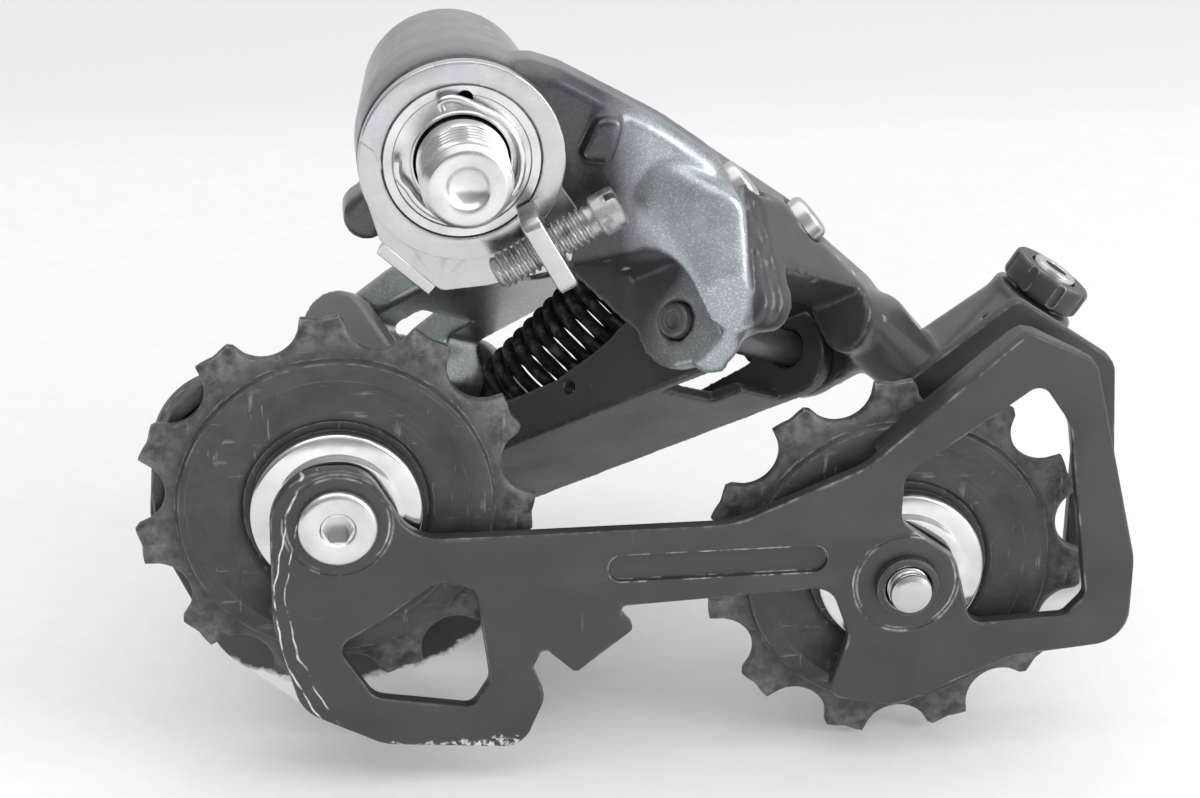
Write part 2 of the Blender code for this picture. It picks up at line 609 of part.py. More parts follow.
# ---------------------------------------------------------------- B-knuckle
origin = along_y(0, 0, 0)
barrel = turned("barrel", origin, [
    (5.4, -BARREL_LONG), (BARREL_FAR_R - 0.8, -BARREL_LONG), (BARREL_FAR_R, -BARREL_LONG + 1.2),
    (BARREL_R, -9.0), (BARREL_R, -2.0), (5.4, -2.0)], 34)
arm = plate("arm", along_y(0, 2.2 + ARM_THICK, 0), ARM_THICK, rounded([
    (2.0, 11.0, 5.0), (9.6, 9.6, 10.0), (22.0, 2.6, 14.0), (28.6, -2.2, 6.0), (31.4, -10.0, 10.0),
    (30.6, -20.0, 8.0), (27.8, -25.6, 4.0), (22.0, -26.2, 4.0), (18.8, -20.6, 5.0), (17.4, -14.6, 4.0),
    (8.0, -13.0, 5.0), (2.0, -9.0, 4.0)]),
    bevel=1.2)
bulge = hull("bulge", [
    rod("b", along_y(x, 0, z), radius, -6.0, high, 16) for x, z, radius, high in (
        (28.0, -7.0, 2.6, 0.6), (28.4, -16.0, 2.6, 2.6), (27.2, -22.4, 2.8, 1.4), (21.0, -4.0, 3.0, -2.6),
        (21.0, -13.0, 3.0, -2.6))])
near_ear = hull("near_ear", [
    pin_disc("a", 0, 0, 5.4, *near), rod("b", along_y(26.2, 0, -15.0), 4.6, -9.0, -3.6, 18)])
near_ear_outer = hull("near_ear_outer", [
    pin_disc("a", 0.2, 0.1, 4.2, near[0], -0.2), pin_disc("b", o_v, o_w, 5.2, near[0], -0.2),
    pin_disc("c", -9, 12, 3.3, near[0], -0.2), pin_disc("d", -8.8, -1.0, 3.0, near[0], -0.2)])
far_ear = hull("far_ear", [
    pin_disc("a", 0, 0, 5.4, *far), pin_disc("b", o_v, o_w, 5.2, *far), pin_disc("c", -7.8, 3.8, 3.0, *far),
    pin_disc("d", -9.6, -1.0, 3.2, *far)])
spine = hull("spine", [
    pin_disc("a", -9.6, -1.0, 3.1, -PIN_LONG + 0.25, -2.0), pin_disc("b", -9.7, 9.5, 3.2, -7.0, -1.4),
    pin_disc("c", -7.9, 4.4, 2.9, -PIN_LONG + 0.35, -10.0)])
web = hull("web", [
    rod("a", origin, 7.0, -20.0, -9.4, 24), pin_disc("b", -9.5, 9.3, 3.0, -14.0, -3.4),
    pin_disc("c", 0, 22.5, 2.0, -10.0, -2.2)])
arm_mid = Vector((56.0, 21.5, -36.2))
cable_arm = hull("cable_arm", [
    pin_disc("a", -9.8, 0.5, 3.6, -PIN_LONG - 0.3, -20.0),
    rod("b", about(arm_mid, (0, 1, 0)), 3.4, -5.5, 5.0, 20)])
boss_here = about(STOP_CENTRE, CASING_DIR)
cable_boss = hull("cable_boss", [
    rod("b", about(arm_mid, (0, 1, 0)), 3.3, -5.2, 4.7, 20), rod("a", boss_here, 4.9, -4.2, 2.0, 28)])
boss = rod("boss", boss_here, 5.4, -4.6, 2.6, 32, 0.4)
lug = plate("lug", along_y(15.2, 3.5, 2.0), 3.2, rounded([
    (-2.6, -2.4, 0.8), (0.8, -3.0, 0.8), (2.2, 2.0, 0.8), (-0.6, 2.2, 0.8)]))
hook = rod("hook", along_y(-10.2, 0, -6.8), 2.6, -8.0, -2.6, 20, 0.4)
b_knuckle = join(
    barrel, arm, bulge, near_ear, near_ear_outer, far_ear, spine, web, cable_arm, cable_boss, boss, lug,
    hook)

b_link_room = plate("b_link_room", pin_frame(FAR_EAR), FAR_EAR * -1 - EAR_THICK, rounded(vw([
    (-5.8, -70, 0), (80, -70, 0), (80, o_w + 9.4, 0), (o_v - 2, o_w + 9.4, 6.0), (o_v - 7.6, o_w + 4.0, 4.0),
    (-5.8, 3.0, 2.0)])))
window = plate("window", pin_frame(-20.0), 15.5, rounded(vw([
    (-20, -9.0, 0), (-4, -9.0, 0), (-4, 2.4, 0), (-20, 2.4, 0)])))
sight = hull("sight", [
    pin_disc("s", v, w, 1.9, -PIN_LONG - 2, -20.0, 16) for v, w in ((3.6, 4.9), (5.0, 7.4))])
bores = [
    window, sight,
    rod("r1", origin, 9.2, -15.0, 0, 30), rod("r2", origin, BOLT_R + 0.45, -BARREL_LONG - 1, 0.5, 26),
    rod("r3", origin, 7.4, -BARREL_LONG - 2, -BARREL_LONG + 4.5, 28),
    plate("spot", pin_frame(0), 14, rounded(vw([
        (-5.8, -12, 5), (20, -12, 0), (20, 6.6, 0), (-5.8, 6.6, 5)]))),
]
b_holes = [pin_disc("h", v, w, PIN_R + 0.25, -PIN_LONG - 1, 1, 20) for v, w in ((0, 0), (o_v, o_w))]
casing_bore = rod("casing", boss_here, 2.75, -12.0, 12.0, 24)
pocket_here = frame(STOP_CENTRE + Vector((-6.2, -3.0, -1.0)), (0.62, 0, 0.74), (-0.74, 0, 0.62))
pocket = plate("pocket", pocket_here, 5.0, rounded([
    (-3.0, -1.3, 1.0), (3.0, -1.3, 1.0), (3.0, 1.3, 1.0), (-3.0, 1.3, 1.0)]), low=-2.0)
screw_frames = [about(place - SCREW_AXIS * 1.6 + W_DIR * 0.8, SCREW_AXIS) for place in SCREWS]
seats = [hull("seat", [
    rod("a", f, 3.1, -3.4, 0.0, 20),
    rod("b", about(place - SCREW_AXIS * 7 - W_DIR * 5, PIN_DIR), 3.0, -3.5, 3.5, 16)])
    for f, place in zip(screw_frames, SCREWS)]
b_knuckle = join(b_knuckle, *seats)
b_knuckle = cut(b_knuckle, b_link_room, *bores, *b_holes, casing_bore, pocket)
b_knuckle = cut(b_knuckle, *[rod("c", f, 1.8, -8.5, 9.0, 16) for f in screw_frames],
                *[rod("c", f, 3.05, 0.2, 9.0, 20) for f in screw_frames])
finish(b_knuckle, "b_knuckle", "anthracite")

for name, f in zip(("high_limit_screw", "low_limit_screw"), screw_frames):
    screw = turned(name, f, [
        (0, -7.5), (1.2, -7.5), (1.5, -7.2), (1.5, 0.5), (2.6, 0.5), (2.75, 0.8), (2.75, 1.9), (2.2, 2.5),
        (0, 2.7)], 18)
    cross = [plate("cross", f @ Matrix.Rotation(a, 4, "Z"), 1.6, [
        (-1.7, -0.35), (1.7, -0.35), (1.7, 0.35), (-1.7, 0.35)], low=1.5) for a in (0, math.pi / 2)]
    finish(cut(screw, *cross), name, "zinc_plate")


# ---------------------------------------------------------------- mounting bolt and its spring
HEAD_Y = BARREL_LONG - 4.5 + GAP
nose = [(0, BOLT_NOSE - 0.8), (1.8, BOLT_NOSE - 0.3), (2.3, BOLT_NOSE), (BOLT_R - 0.95, BOLT_NOSE)]
nose += thread(BOLT_R, 0.3, 1.6, BOLT_NOSE - 0.8, 1.25)[::-1]
shank = [
    (BOLT_R - 0.65, 1.4), (BOLT_R - 0.65, 0.6), (BOLT_R, 0.3), (BOLT_R, -HEAD_Y), (BOLT_R + 2.05, -HEAD_Y),
    (BOLT_R + 2.05, -HEAD_Y - 5.0), (BOLT_R + 1.45, -HEAD_Y - 5.6), (0, -HEAD_Y - 5.6)]
bolt = turned("mounting_bolt", origin, nose + shank, 26)
socket = plate("socket", origin, 5.0, hexagon(5.0), low=-HEAD_Y - 7.0)
finish(cut(bolt, socket), "mounting_bolt", "zinc_plate")

washer = ring("washer", origin, BOLT_R + GAP, 8.2, -1.7, -0.4, 32)
washer = cut(washer, rod("hole", along_y(0.4, 0, 7.0), 0.9, -3, 1, 12))
finish(washer, "b_washer", "zinc_plate")

b_coil = coil_points(7.6, -13.6, -3.2, 4.5, 13)
finish(wire("b_spring", b_coil, 0.9, matrix=origin, sides=1), "b_spring", "dark_steel")

screw_tip, screw_head = Vector((3.1, -3.0, -11.7)), Vector((14.0, -3.0, -5.7))
screw_dir = (screw_head - screw_tip).normalized()
tab_mid = Vector((10.7, -3.0, -7.9))
tip_frame = about(screw_tip, screw_dir)
across_tab = Vector((screw_dir.z, 0, -screw_dir.x))
disc = plate("disc", along_y(0, 1.7, 0), 1.5, circle(0, 0, 11.1, 44), [circle(0, 0, 8.6, 32)])
skirt = plate("skirt", along_y(0, 1.66, 0), 1.42, rounded([
    (-10.6, -3.0, 1.0), (-9.0, -8.6, 1.5), (-2.6, -14.6, 1.2), (2.4, -14.2, 2.0), (11.6, -12.4, 1.5),
    (12.4, -6.0, 1.0), (8.6, 0.0, 1.0)]))
skirt = cut(skirt, rod("c", origin, 8.64, -4, 2, 32))
tab = plate("tab", frame(tab_mid - screw_dir * 1.1, across_tab, (0, -1, 0)), 2.2,
            rounded([(-4.6, -4.7, 0.8), (4.6, -4.7, 0.8), (4.6, 2.9, 1.2), (-4.6, 2.9, 1.2)]), [], 0.3)
lip = plate("lip", frame((-5.6, 0.2, -11.6), (0.73, 0, -0.68), (0, 1, 0)), 1.4,
            [(-4.0, 0), (3.4, 0), (3.0, 3.2), (-3.4, 3.2)], low=-1.4)
stop_plate = join(disc, skirt, tab, lip)
stop_plate = cut(stop_plate, rod("c", tip_frame, 2.3, 2.0, 14.0, 20), rod("d", origin, 8.55, -4.0, 0.1, 36))
finish(stop_plate, "stop_plate", "zinc_plate")

long = (screw_head - screw_tip).length
b_screw = turned("b_tension_screw", tip_frame, [
    (0, 0), (1.5, 0)] + thread(2.0, 0.3, 0.3, long - 0.6, 1.0) + [
    (1.8, long), (2.3, long), (2.4, long + 0.2), (2.4, long + 2.4), (2.0, long + 2.9), (0, long + 3.0)], 14)
slit = plate("slit", tip_frame @ Matrix.Rotation(0.6, 4, "Z"), 2.0, [
    (-3.6, -0.4), (3.6, -0.4), (3.6, 0.4), (-3.6, 0.4)], low=long + 1.8)
finish(cut(b_screw, slit), "b_tension_screw", "dark_steel")

CLIP_R = 6.3
clip = [
    (CLIP_R * math.cos(math.radians(a)), CLIP_R * math.sin(math.radians(a)), 0.5)
    for a in range(-158, 60, 14)]
start_bend = [(-6.9, 0.8, 0.9), (-7.1, -0.6, 0.8), (-6.6, -1.7, 0.6)]
end_bend = [(1.2, 6.6, 0.8), (-0.4, 7.4, 0.9), (-1.8, 7.5, 0.9), (-2.5, 6.9, 0.9), (-2.0, 6.2, 0.8)]
finish(wire("bolt_clip", start_bend + clip + end_bend, 0.45, matrix=origin), "bolt_clip", "zinc_plate")


# ---------------------------------------------------------------- cable stop
adjuster = turned("barrel_adjuster", boss_here, [
    (1.3, -6.5), (2.2, -6.5), (2.45, -6.2), (2.45, 3.0), (4.6, 3.0), (5.2, 3.6), (5.2, 6.0), (4.9, 6.4),
    (3.1, 6.4), (3.1, 4.4), (1.3, 4.0)], 26)
flute_at = Matrix.Translation((5.7 * MM, 0, 0))
flutes = [
    rod("f", boss_here @ Matrix.Rotation(k * math.pi / 4, 4, "Z") @ flute_at, 0.9, 3.4, 8, 8)
    for k in range(8)]
finish(cut(adjuster, *flutes), "barrel_adjuster", "black_resin")
finish(ring("ferrule", boss_here, 1.5, 2.75, 4.75, 6.9, 24, 0.2), "casing_ferrule", "zinc_plate")

# Cable clamp on the outboard face of the outer link
clamp_bolt = turned("clamp_bolt", clamp_here, [
    (0, -3.4), (1.9, -3.4), (2.2, -3.1), (2.2, 1.9), (3.9, 1.9), (4.1, 2.1), (4.1, 4.2), (3.7, 4.6),
    (0, 4.6)], 24)
socket = plate("socket", clamp_here, 3.0, hexagon(4.0), low=2.6)
finish(cut(clamp_bolt, socket), "cable_clamp_bolt", "zinc_plate")
clamp = plate("clamp", clamp_here, 1.2, rounded([
    (-5, -4, 1), (5, -4, 1), (5, 4.4, 2), (-5, 4.4, 2)]), [circle(0, 0, 2.5, 20)], low=GAP)
finish(clamp, "cable_clamp_plate", "zinc_plate")
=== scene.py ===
import math

import bmesh
import bpy
import numpy as np
from mathutils import Matrix, Vector


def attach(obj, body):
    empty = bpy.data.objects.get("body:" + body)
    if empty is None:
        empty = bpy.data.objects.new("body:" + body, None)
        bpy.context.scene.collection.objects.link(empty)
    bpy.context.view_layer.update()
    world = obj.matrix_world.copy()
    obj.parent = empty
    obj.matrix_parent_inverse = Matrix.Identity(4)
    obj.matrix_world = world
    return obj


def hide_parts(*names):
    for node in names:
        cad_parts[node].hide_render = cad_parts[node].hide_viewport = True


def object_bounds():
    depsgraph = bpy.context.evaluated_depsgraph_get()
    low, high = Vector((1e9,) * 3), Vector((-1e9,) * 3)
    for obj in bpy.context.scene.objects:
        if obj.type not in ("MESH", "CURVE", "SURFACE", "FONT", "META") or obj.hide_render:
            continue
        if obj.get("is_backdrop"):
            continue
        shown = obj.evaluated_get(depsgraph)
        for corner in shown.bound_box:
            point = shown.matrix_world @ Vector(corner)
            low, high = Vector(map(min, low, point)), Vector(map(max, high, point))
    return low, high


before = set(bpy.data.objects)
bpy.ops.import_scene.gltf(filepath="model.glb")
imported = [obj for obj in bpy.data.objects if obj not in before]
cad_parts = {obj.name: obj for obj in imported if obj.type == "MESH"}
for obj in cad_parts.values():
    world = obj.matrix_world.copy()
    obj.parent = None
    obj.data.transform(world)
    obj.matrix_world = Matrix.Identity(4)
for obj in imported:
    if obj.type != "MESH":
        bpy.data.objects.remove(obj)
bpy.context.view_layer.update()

MM = 0.001
GAP = 0.3  # running room between two pieces

# Pulleys
TEETH = 11
PITCH_R = 12.7 / (2 * math.sin(math.pi / TEETH))
TIP_R = PITCH_R - 0.34
ROLLER_R = 3.96
PULLEY_Y = -2.8
GUIDE = (-14.8, -37.6)  # X and Z of the guide pulley's axis
TENSION = (48.0, -48.0)
AXLE_R = 2.4  # the bolts that the pulleys turn on
BUSH_R = 4.0
CAP_R = 9.5
ROOT_R = 17.4  # where the teeth begin
TOOTH_TURN = -math.pi / 2 - 0.04  # puts a tooth at the top, a touch past upright

# Cage
PLATE_THICK = 1.8
PLATE_IN = PULLEY_Y - 4.4  # inner face of the plate nearest the wheel
PLATE_OUT = PULLEY_Y + 4.4
P_AXLE = (-10.5, -48.0)
P_SHOULDER = 1.6  # room between the cage and the lower knuckle
P_HOUSING = 11.0  # length of the lower knuckle's spring housing
STOP_PIN_REACH, STOP_PIN_ANGLE = 13.4, math.radians(30)  # the stop pin's place about the cage axle
RUB_CENTRE, RUB_R = (8.6, -45.8), 30.5  # middle and radius of the scratches on the inner plate

# Links
PIN_DIR = Vector((-0.66007, -0.62007, 0.42405))
LINK_DIR = Vector((-0.74230, 0.45177, -0.49486))
W_DIR = Vector((-0.11527, 0.64142, 0.75848))
PIN_NEAR = Vector((23.4, 3.0, -20.2))
PIN_LONG = 28.0
PIN_R = 2.0
WIRE_R = 0.75  # return spring
LINK_LONG = 40.0
SKEW_V, SKEW_W = 8.328, 13.072  # the outer link's pins beside the inner link's

# Knuckle on the hanger
CASING_DIR = Vector((0.54280, -0.03016, 0.83932))
STOP_CENTRE = Vector((68.7, 25.2, -30.0))
SCREW_DIR = Vector((0.79603, 0.09950, 0.59702))
LIMIT_SCREWS = {
    "high_limit_screw": Vector((31.4, 8.0, -7.0)),
    "low_limit_screw": Vector((39.6, 11.5, -12.7))}
BARREL_LONG = 28.5
BOLT_R = 4.95
BOLT_NOSE = 8.5
TENSION_TIP, TENSION_HEAD = Vector((3.1, -3.0, -11.7)), Vector((14.0, -3.0, -5.7))

# View
VIEW_TURN, VIEW_DIP = math.radians(6.5), math.radians(23)  # to the right and down
VIEW_FROM = (-0.0198, -0.3028, 0.1014)
FLOOR_GAP = 0.4  # from the lowest point to the floor


# -------------------- places
def axes_at(origin, x_axis, y_axis):
    """A matrix whose local X and Y lie along the given axes, with its origin in millimetres."""
    x_axis = Vector(x_axis).normalized()
    z_axis = x_axis.cross(Vector(y_axis)).normalized()
    matrix = Matrix((x_axis, z_axis.cross(x_axis), z_axis)).transposed().to_4x4()
    matrix.translation = Vector(origin) * MM
    return matrix


def across(x, y, z):
    """Local X is world X, local Y is world Z and local Z points to the wheel."""
    return axes_at((x, y, z), (1, 0, 0), (0, 0, 1))


def about(origin, axis):
    """Local Z lies along the axis."""
    axis = Vector(axis).normalized()
    side = axis.cross(Vector((0, 1, 0) if abs(axis.y) < 0.9 else (0, 0, 1)))
    return axes_at(origin, side, axis.cross(side))


def in_pins(u, v, w):
    """A point from its places along the pins, along the links and across the links."""
    return PIN_NEAR + PIN_DIR * u + LINK_DIR * v + W_DIR * w


def pin_axes(u, v, w):
    return axes_at(in_pins(u, v, w), W_DIR, LINK_DIR)


# -------------------- shapes
def new_object(name, data, matrix=None):
    obj = bpy.data.objects.new(name, data)
    bpy.context.scene.collection.objects.link(obj)
    if matrix is not None:
        obj.matrix_world = matrix
    return obj


def bake(obj):
    """The object as a plain mesh of its evaluated shape, with its place in its vertices."""
    bpy.context.view_layer.update()
    evaluated = obj.evaluated_get(bpy.context.evaluated_depsgraph_get())
    mesh = bpy.data.meshes.new_from_object(evaluated)
    mesh.transform(obj.matrix_world)
    name = obj.name
    bpy.data.objects.remove(obj)
    shape = bmesh.new()
    shape.from_mesh(mesh)
    bmesh.ops.remove_doubles(shape, verts=shape.verts, dist=1e-6)
    bmesh.ops.dissolve_degenerate(shape, edges=shape.edges, dist=1e-6)
    bmesh.ops.recalc_face_normals(shape, faces=shape.faces)
    shape.to_mesh(mesh)
    shape.free()
    made = new_object("baking", mesh)
    made.name = name
    return made


def modified(obj, *modifiers):
    """Adds modifiers given as (type, settings) and bakes them."""
    for kind, settings in modifiers:
        modifier = obj.modifiers.new(kind, kind)
        for key, value in settings.items():
            setattr(modifier, key, value)
    return bake(obj)


def soften(obj, width):
    """Rounds the sharp edges, as tumbling or wear leaves them."""
    return modified(obj, ("BEVEL", {
        "width": width * MM, "segments": 2, "limit_method": "ANGLE", "angle_limit": math.radians(30),
        "use_clamp_overlap": True, "harden_normals": False}))


def circle(x, y, radius, count=64):
    turn = 2 * math.pi / count
    return [(x + radius * math.cos(i * turn), y + radius * math.sin(i * turn)) for i in range(count)]


def rounded(corners):
    """Outline through corners given as (x, y, radius), with an arc of 5-degree steps at each corner."""
    points = []
    for i, (x, y, radius) in enumerate(corners):
        here = Vector((x, y))
        before = (Vector(corners[i - 1][:2]) - here).normalized()
        after = (Vector(corners[(i + 1) % len(corners)][:2]) - here).normalized()
        if radius <= 0:
            points.append((x, y))
            continue
        half = before.angle(after) / 2
        middle = here + (before + after).normalized() * (radius / math.sin(half))
        start = here + before * (radius / math.tan(half)) - middle
        sweep = (math.pi - 2 * half) * (1 if before.cross(after) < 0 else -1)
        count = max(1, round(abs(math.degrees(sweep)) / 5))
        for k in range(count + 1):
            arm = start.copy()
            arm.rotate(Matrix.Rotation(sweep * k / count, 2))
            points.append(tuple(middle + arm))
    return points


def plate(name, matrix, thick, outline, holes=(), bevel=0.0, low=0.0):
    """A flat piece from local z = low to low + thick, with its holes and a rounded edge."""
    curve = bpy.data.curves.new(name, "CURVE")
    curve.dimensions = "2D"
    curve.fill_mode = "BOTH"
    curve.extrude = (thick / 2 - bevel) * MM
    curve.bevel_depth = bevel * MM
    curve.bevel_resolution = 2
    curve.offset = -bevel * MM
    for loop in (outline, *holes):
        spline = curve.splines.new("POLY")
        spline.points.add(len(loop) - 1)
        for point, (x, y) in zip(spline.points, loop):
            point.co = (x * MM, y * MM, 0, 1)
        spline.use_cyclic_u = True
    return bake(new_object(name, curve, matrix @ Matrix.Translation((0, 0, (low + thick / 2) * MM))))


def turned(name, matrix, profile, steps=96, pitch=1.0):
    """A piece turned about local Z from rows of (radius, height) or (radius, height, thread depth).

    A row with a depth lies on a thread that climbs one pitch each turn.
    """
    closed = profile[0][0] > 0
    angles = np.arange(steps) * 2 * math.pi / steps
    rows = []
    for radius, height, *depth in profile:
        reach = np.full(steps, float(radius))
        if depth:
            ramp = (height / pitch - angles / (2 * math.pi)) % 1
            reach -= depth[0] * (1 - np.clip(2.2 * (1 - np.abs(2 * ramp - 1)) - 0.6, 0, 1))
        level = np.full(steps, float(height))
        rows.append(np.stack([reach * np.cos(angles), reach * np.sin(angles), level], 1))
    points = np.concatenate(rows) * MM
    faces = []
    pairs = list(range(len(rows) - 1)) + ([len(rows) - 1] if closed else [])
    for row in pairs:
        a, b = row * steps, (row + 1) % len(rows) * steps
        faces += [(a + i, a + (i + 1) % steps, b + (i + 1) % steps, b + i) for i in range(steps)]
    mesh = bpy.data.meshes.new(name)
    mesh.from_pydata(points.tolist(), [], faces)
    return bake(new_object(name, mesh, matrix))


def thread(radius, depth, low, high, pitch, rows=10):
    """Rows of a thread between two heights, running out at both ends."""
    count = round((high - low) / pitch * rows)
    made = []
    for i in range(count + 1):
        height = low + (high - low) * i / count
        ends = min(1, (height - low) / pitch * 1.2, (high - height) / pitch * 1.2)
        made.append((radius - depth * (1 - ends) * 0.5, height, depth * max(0.15, ends)))
    return made


def rod(name, matrix, radius, low, high, steps=64):
    return turned(name, matrix, [(0, low), (radius, low), (radius, high), (0, high)], steps)


def ring(name, matrix, inner, outer, low, high):
    return turned(name, matrix, [(inner, low), (outer, low), (outer, high), (inner, high)])


def combine(obj, others, operation):
    for other in others:
        boolean = obj.modifiers.new("Boolean", "BOOLEAN")
        boolean.operation = operation
        boolean.solver = "EXACT"
        boolean.object = other
        obj = bake(obj)
        bpy.data.objects.remove(other)
    return obj


def join(obj, *others):
    return combine(obj, others, "UNION")


def cut(obj, *others):
    return combine(obj, others, "DIFFERENCE")


def hexagon(wide):
    """Outline of a hexagon of this width across its flats."""
    return circle(0, 0, wide / math.sqrt(3), 6)


def strip(points, wide):
    """Outline of a band that follows an open line of points, on its left side."""
    line = [Vector(p) for p in points]
    inner = []
    for i, here in enumerate(line):
        ahead = line[min(i + 1, len(line) - 1)] - line[max(i - 1, 0)]
        inner.append(tuple(here + Vector((-ahead.y, ahead.x)).normalized() * wide))
    return [tuple(p) for p in line] + inner[::-1]


def cast(node, voxel, rounds):
    """The frame's shape as it comes out of a die: every edge and corner a little rounded."""
    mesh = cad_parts[node].data.copy()
    mesh.materials.clear()
    shape = bmesh.new()
    shape.from_mesh(mesh)
    bmesh.ops.remove_doubles(shape, verts=shape.verts, dist=1e-6)
    shape.to_mesh(mesh)
    shape.free()
    return modified(
        new_object(node, mesh),
        ("REMESH", {"mode": "VOXEL", "voxel_size": voxel * MM}),
        ("SMOOTH", {"factor": 0.5, "iterations": rounds}))


# -------------------- node helpers
def add(tree, kind, inputs=None, **settings):
    """Adds a node with its settings, input values and links."""
    node = tree.nodes.new(kind)
    for key, value in settings.items():
        setattr(node, key, value)
    for key, value in (inputs or {}).items():
        if isinstance(value, bpy.types.NodeSocket):
            tree.links.new(value, node.inputs[key])
        else:
            node.inputs[key].default_value = value
    return node


def grown(name, tree, obj, values):
    """Runs a geometry tree on the object with its named sizes, and bakes the result."""
    modifier = obj.modifiers.new(name, "NODES")
    modifier.node_group = tree
    for item in tree.interface.items_tree:
        if item.item_type == "SOCKET" and item.in_out == "INPUT" and item.name in values:
            modifier[item.identifier] = values[item.name]
    return bake(obj)


def geometry_tree(name, sizes):
    """An empty geometry tree with a named input for each size, and the sockets of its input node."""
    tree = bpy.data.node_groups.new(name, "GeometryNodeTree")
    tree.interface.new_socket("Geometry", in_out="INPUT", socket_type="NodeSocketGeometry")
    tree.interface.new_socket("Geometry", in_out="OUTPUT", socket_type="NodeSocketGeometry")
    for key, value in sizes.items():
        kind = {float: "NodeSocketFloat", int: "NodeSocketInt"}.get(type(value), "NodeSocketMaterial")
        socket = tree.interface.new_socket(key, in_out="INPUT", socket_type=kind)
        if value is not None:
            socket.default_value = value
    return tree, tree.nodes.new("NodeGroupInput").outputs


def end_tree(tree, shape, finish):
    """Ends a geometry tree: the shape is made real and takes its finish."""
    real = add(tree, "GeometryNodeRealizeInstances", {0: shape}).outputs[0]
    finished = add(tree, "GeometryNodeSetMaterial", {"Geometry": real, "Material": finish}).outputs[0]
    tree.links.new(finished, tree.nodes.new("NodeGroupOutput").inputs[0])
    return tree


# -------------------- materials
def linear(code):
    """An sRGB hex colour as the linear values that a shader takes."""
    parts = [int(code[i:i + 2], 16) / 255 for i in (1, 3, 5)]
    return (*[p / 12.92 if p <= 0.04045 else ((p + 0.055) / 1.055) ** 2.4 for p in parts], 1)


def new_material(name, colour, metallic, roughness, centre=(0, 0, 0), **settings):
    """A material with its shader's constants set, and the piece's own coordinates in millimetres."""
    made = bpy.data.materials.new(name)
    made.use_nodes = True
    tree = made.node_tree
    shader = tree.nodes["Principled BSDF"]
    settings = {"Base Color": linear(colour), "Metallic": metallic, "Roughness": roughness, **settings}
    for key, value in settings.items():
        shader.inputs[key].default_value = value
    place = add(tree, "ShaderNodeTexCoord").outputs["Object"]
    place = add(tree, "ShaderNodeMapping", {
        "Vector": place, "Location": [-c for c in centre], "Scale": (1 / MM,) * 3}).outputs["Vector"]
    return made, tree, shader, place


def noise(tree, place, size, detail=3.0, stretch=(1, 1, 1)):
    """Noise whose lumps are about `size` millimetres across, drawn out along an axis by `stretch`."""
    if stretch != (1, 1, 1):
        place = add(tree, "ShaderNodeVectorMath", {
            0: place, 1: [1 / s for s in stretch]}, operation="MULTIPLY").outputs[0]
    return add(tree, "ShaderNodeTexNoise", {
        "Vector": place, "Scale": 1 / size, "Detail": detail, "Roughness": 0.6}).outputs[0]


def between(tree, value, low, high, to_low=0.0, to_high=1.0):
    """Moves a value from one range to another, with its ends held."""
    return add(tree, "ShaderNodeMapRange", {
        "Value": value, "From Min": low, "From Max": high, "To Min": to_low, "To Max": to_high}).outputs[0]


def calc(tree, operation, *values):
    """The result of a sum on values or sockets."""
    return add(tree, "ShaderNodeMath", dict(enumerate(values)), operation=operation).outputs[0]


def axes_of(tree, place):
    """The X, Y and Z of a place."""
    return add(tree, "ShaderNodeSeparateXYZ", {0: place}).outputs


def length_of(tree, first, second):
    """The length of the line to a point from its two distances along right-angled axes."""
    squares = [calc(tree, "MULTIPLY", side, side) for side in (first, second)]
    return calc(tree, "SQRT", calc(tree, "ADD", *squares))


def mixed(tree, share, first, second):
    """One colour or the other; hex codes are turned to linear."""
    first, second = [linear(c) if isinstance(c, str) else c for c in (first, second)]
    return add(tree, "ShaderNodeMix", {0: share, 6: first, 7: second}, data_type="RGBA").outputs[2]


def edges(tree, wide):
    """How near a sharp edge is, from 0 to 1, over about `wide` millimetres."""
    bent = add(tree, "ShaderNodeBevel", {"Radius": wide * MM}, samples=4).outputs[0]
    straight = add(tree, "ShaderNodeNewGeometry").outputs["Normal"]
    level = add(tree, "ShaderNodeVectorMath", {0: bent, 1: straight}, operation="DOT_PRODUCT")
    return between(tree, level.outputs["Value"], 0.995, 0.85)


def bump(tree, shader, height, depth):
    """Raises the surface by the height times a depth in millimetres."""
    normal = add(tree, "ShaderNodeBump", {"Height": height, "Distance": depth * MM, "Strength": 1.0})
    if shader.inputs["Normal"].links:
        tree.links.new(shader.inputs["Normal"].links[0].from_socket, normal.inputs["Normal"])
    tree.links.new(normal.outputs[0], shader.inputs["Normal"])


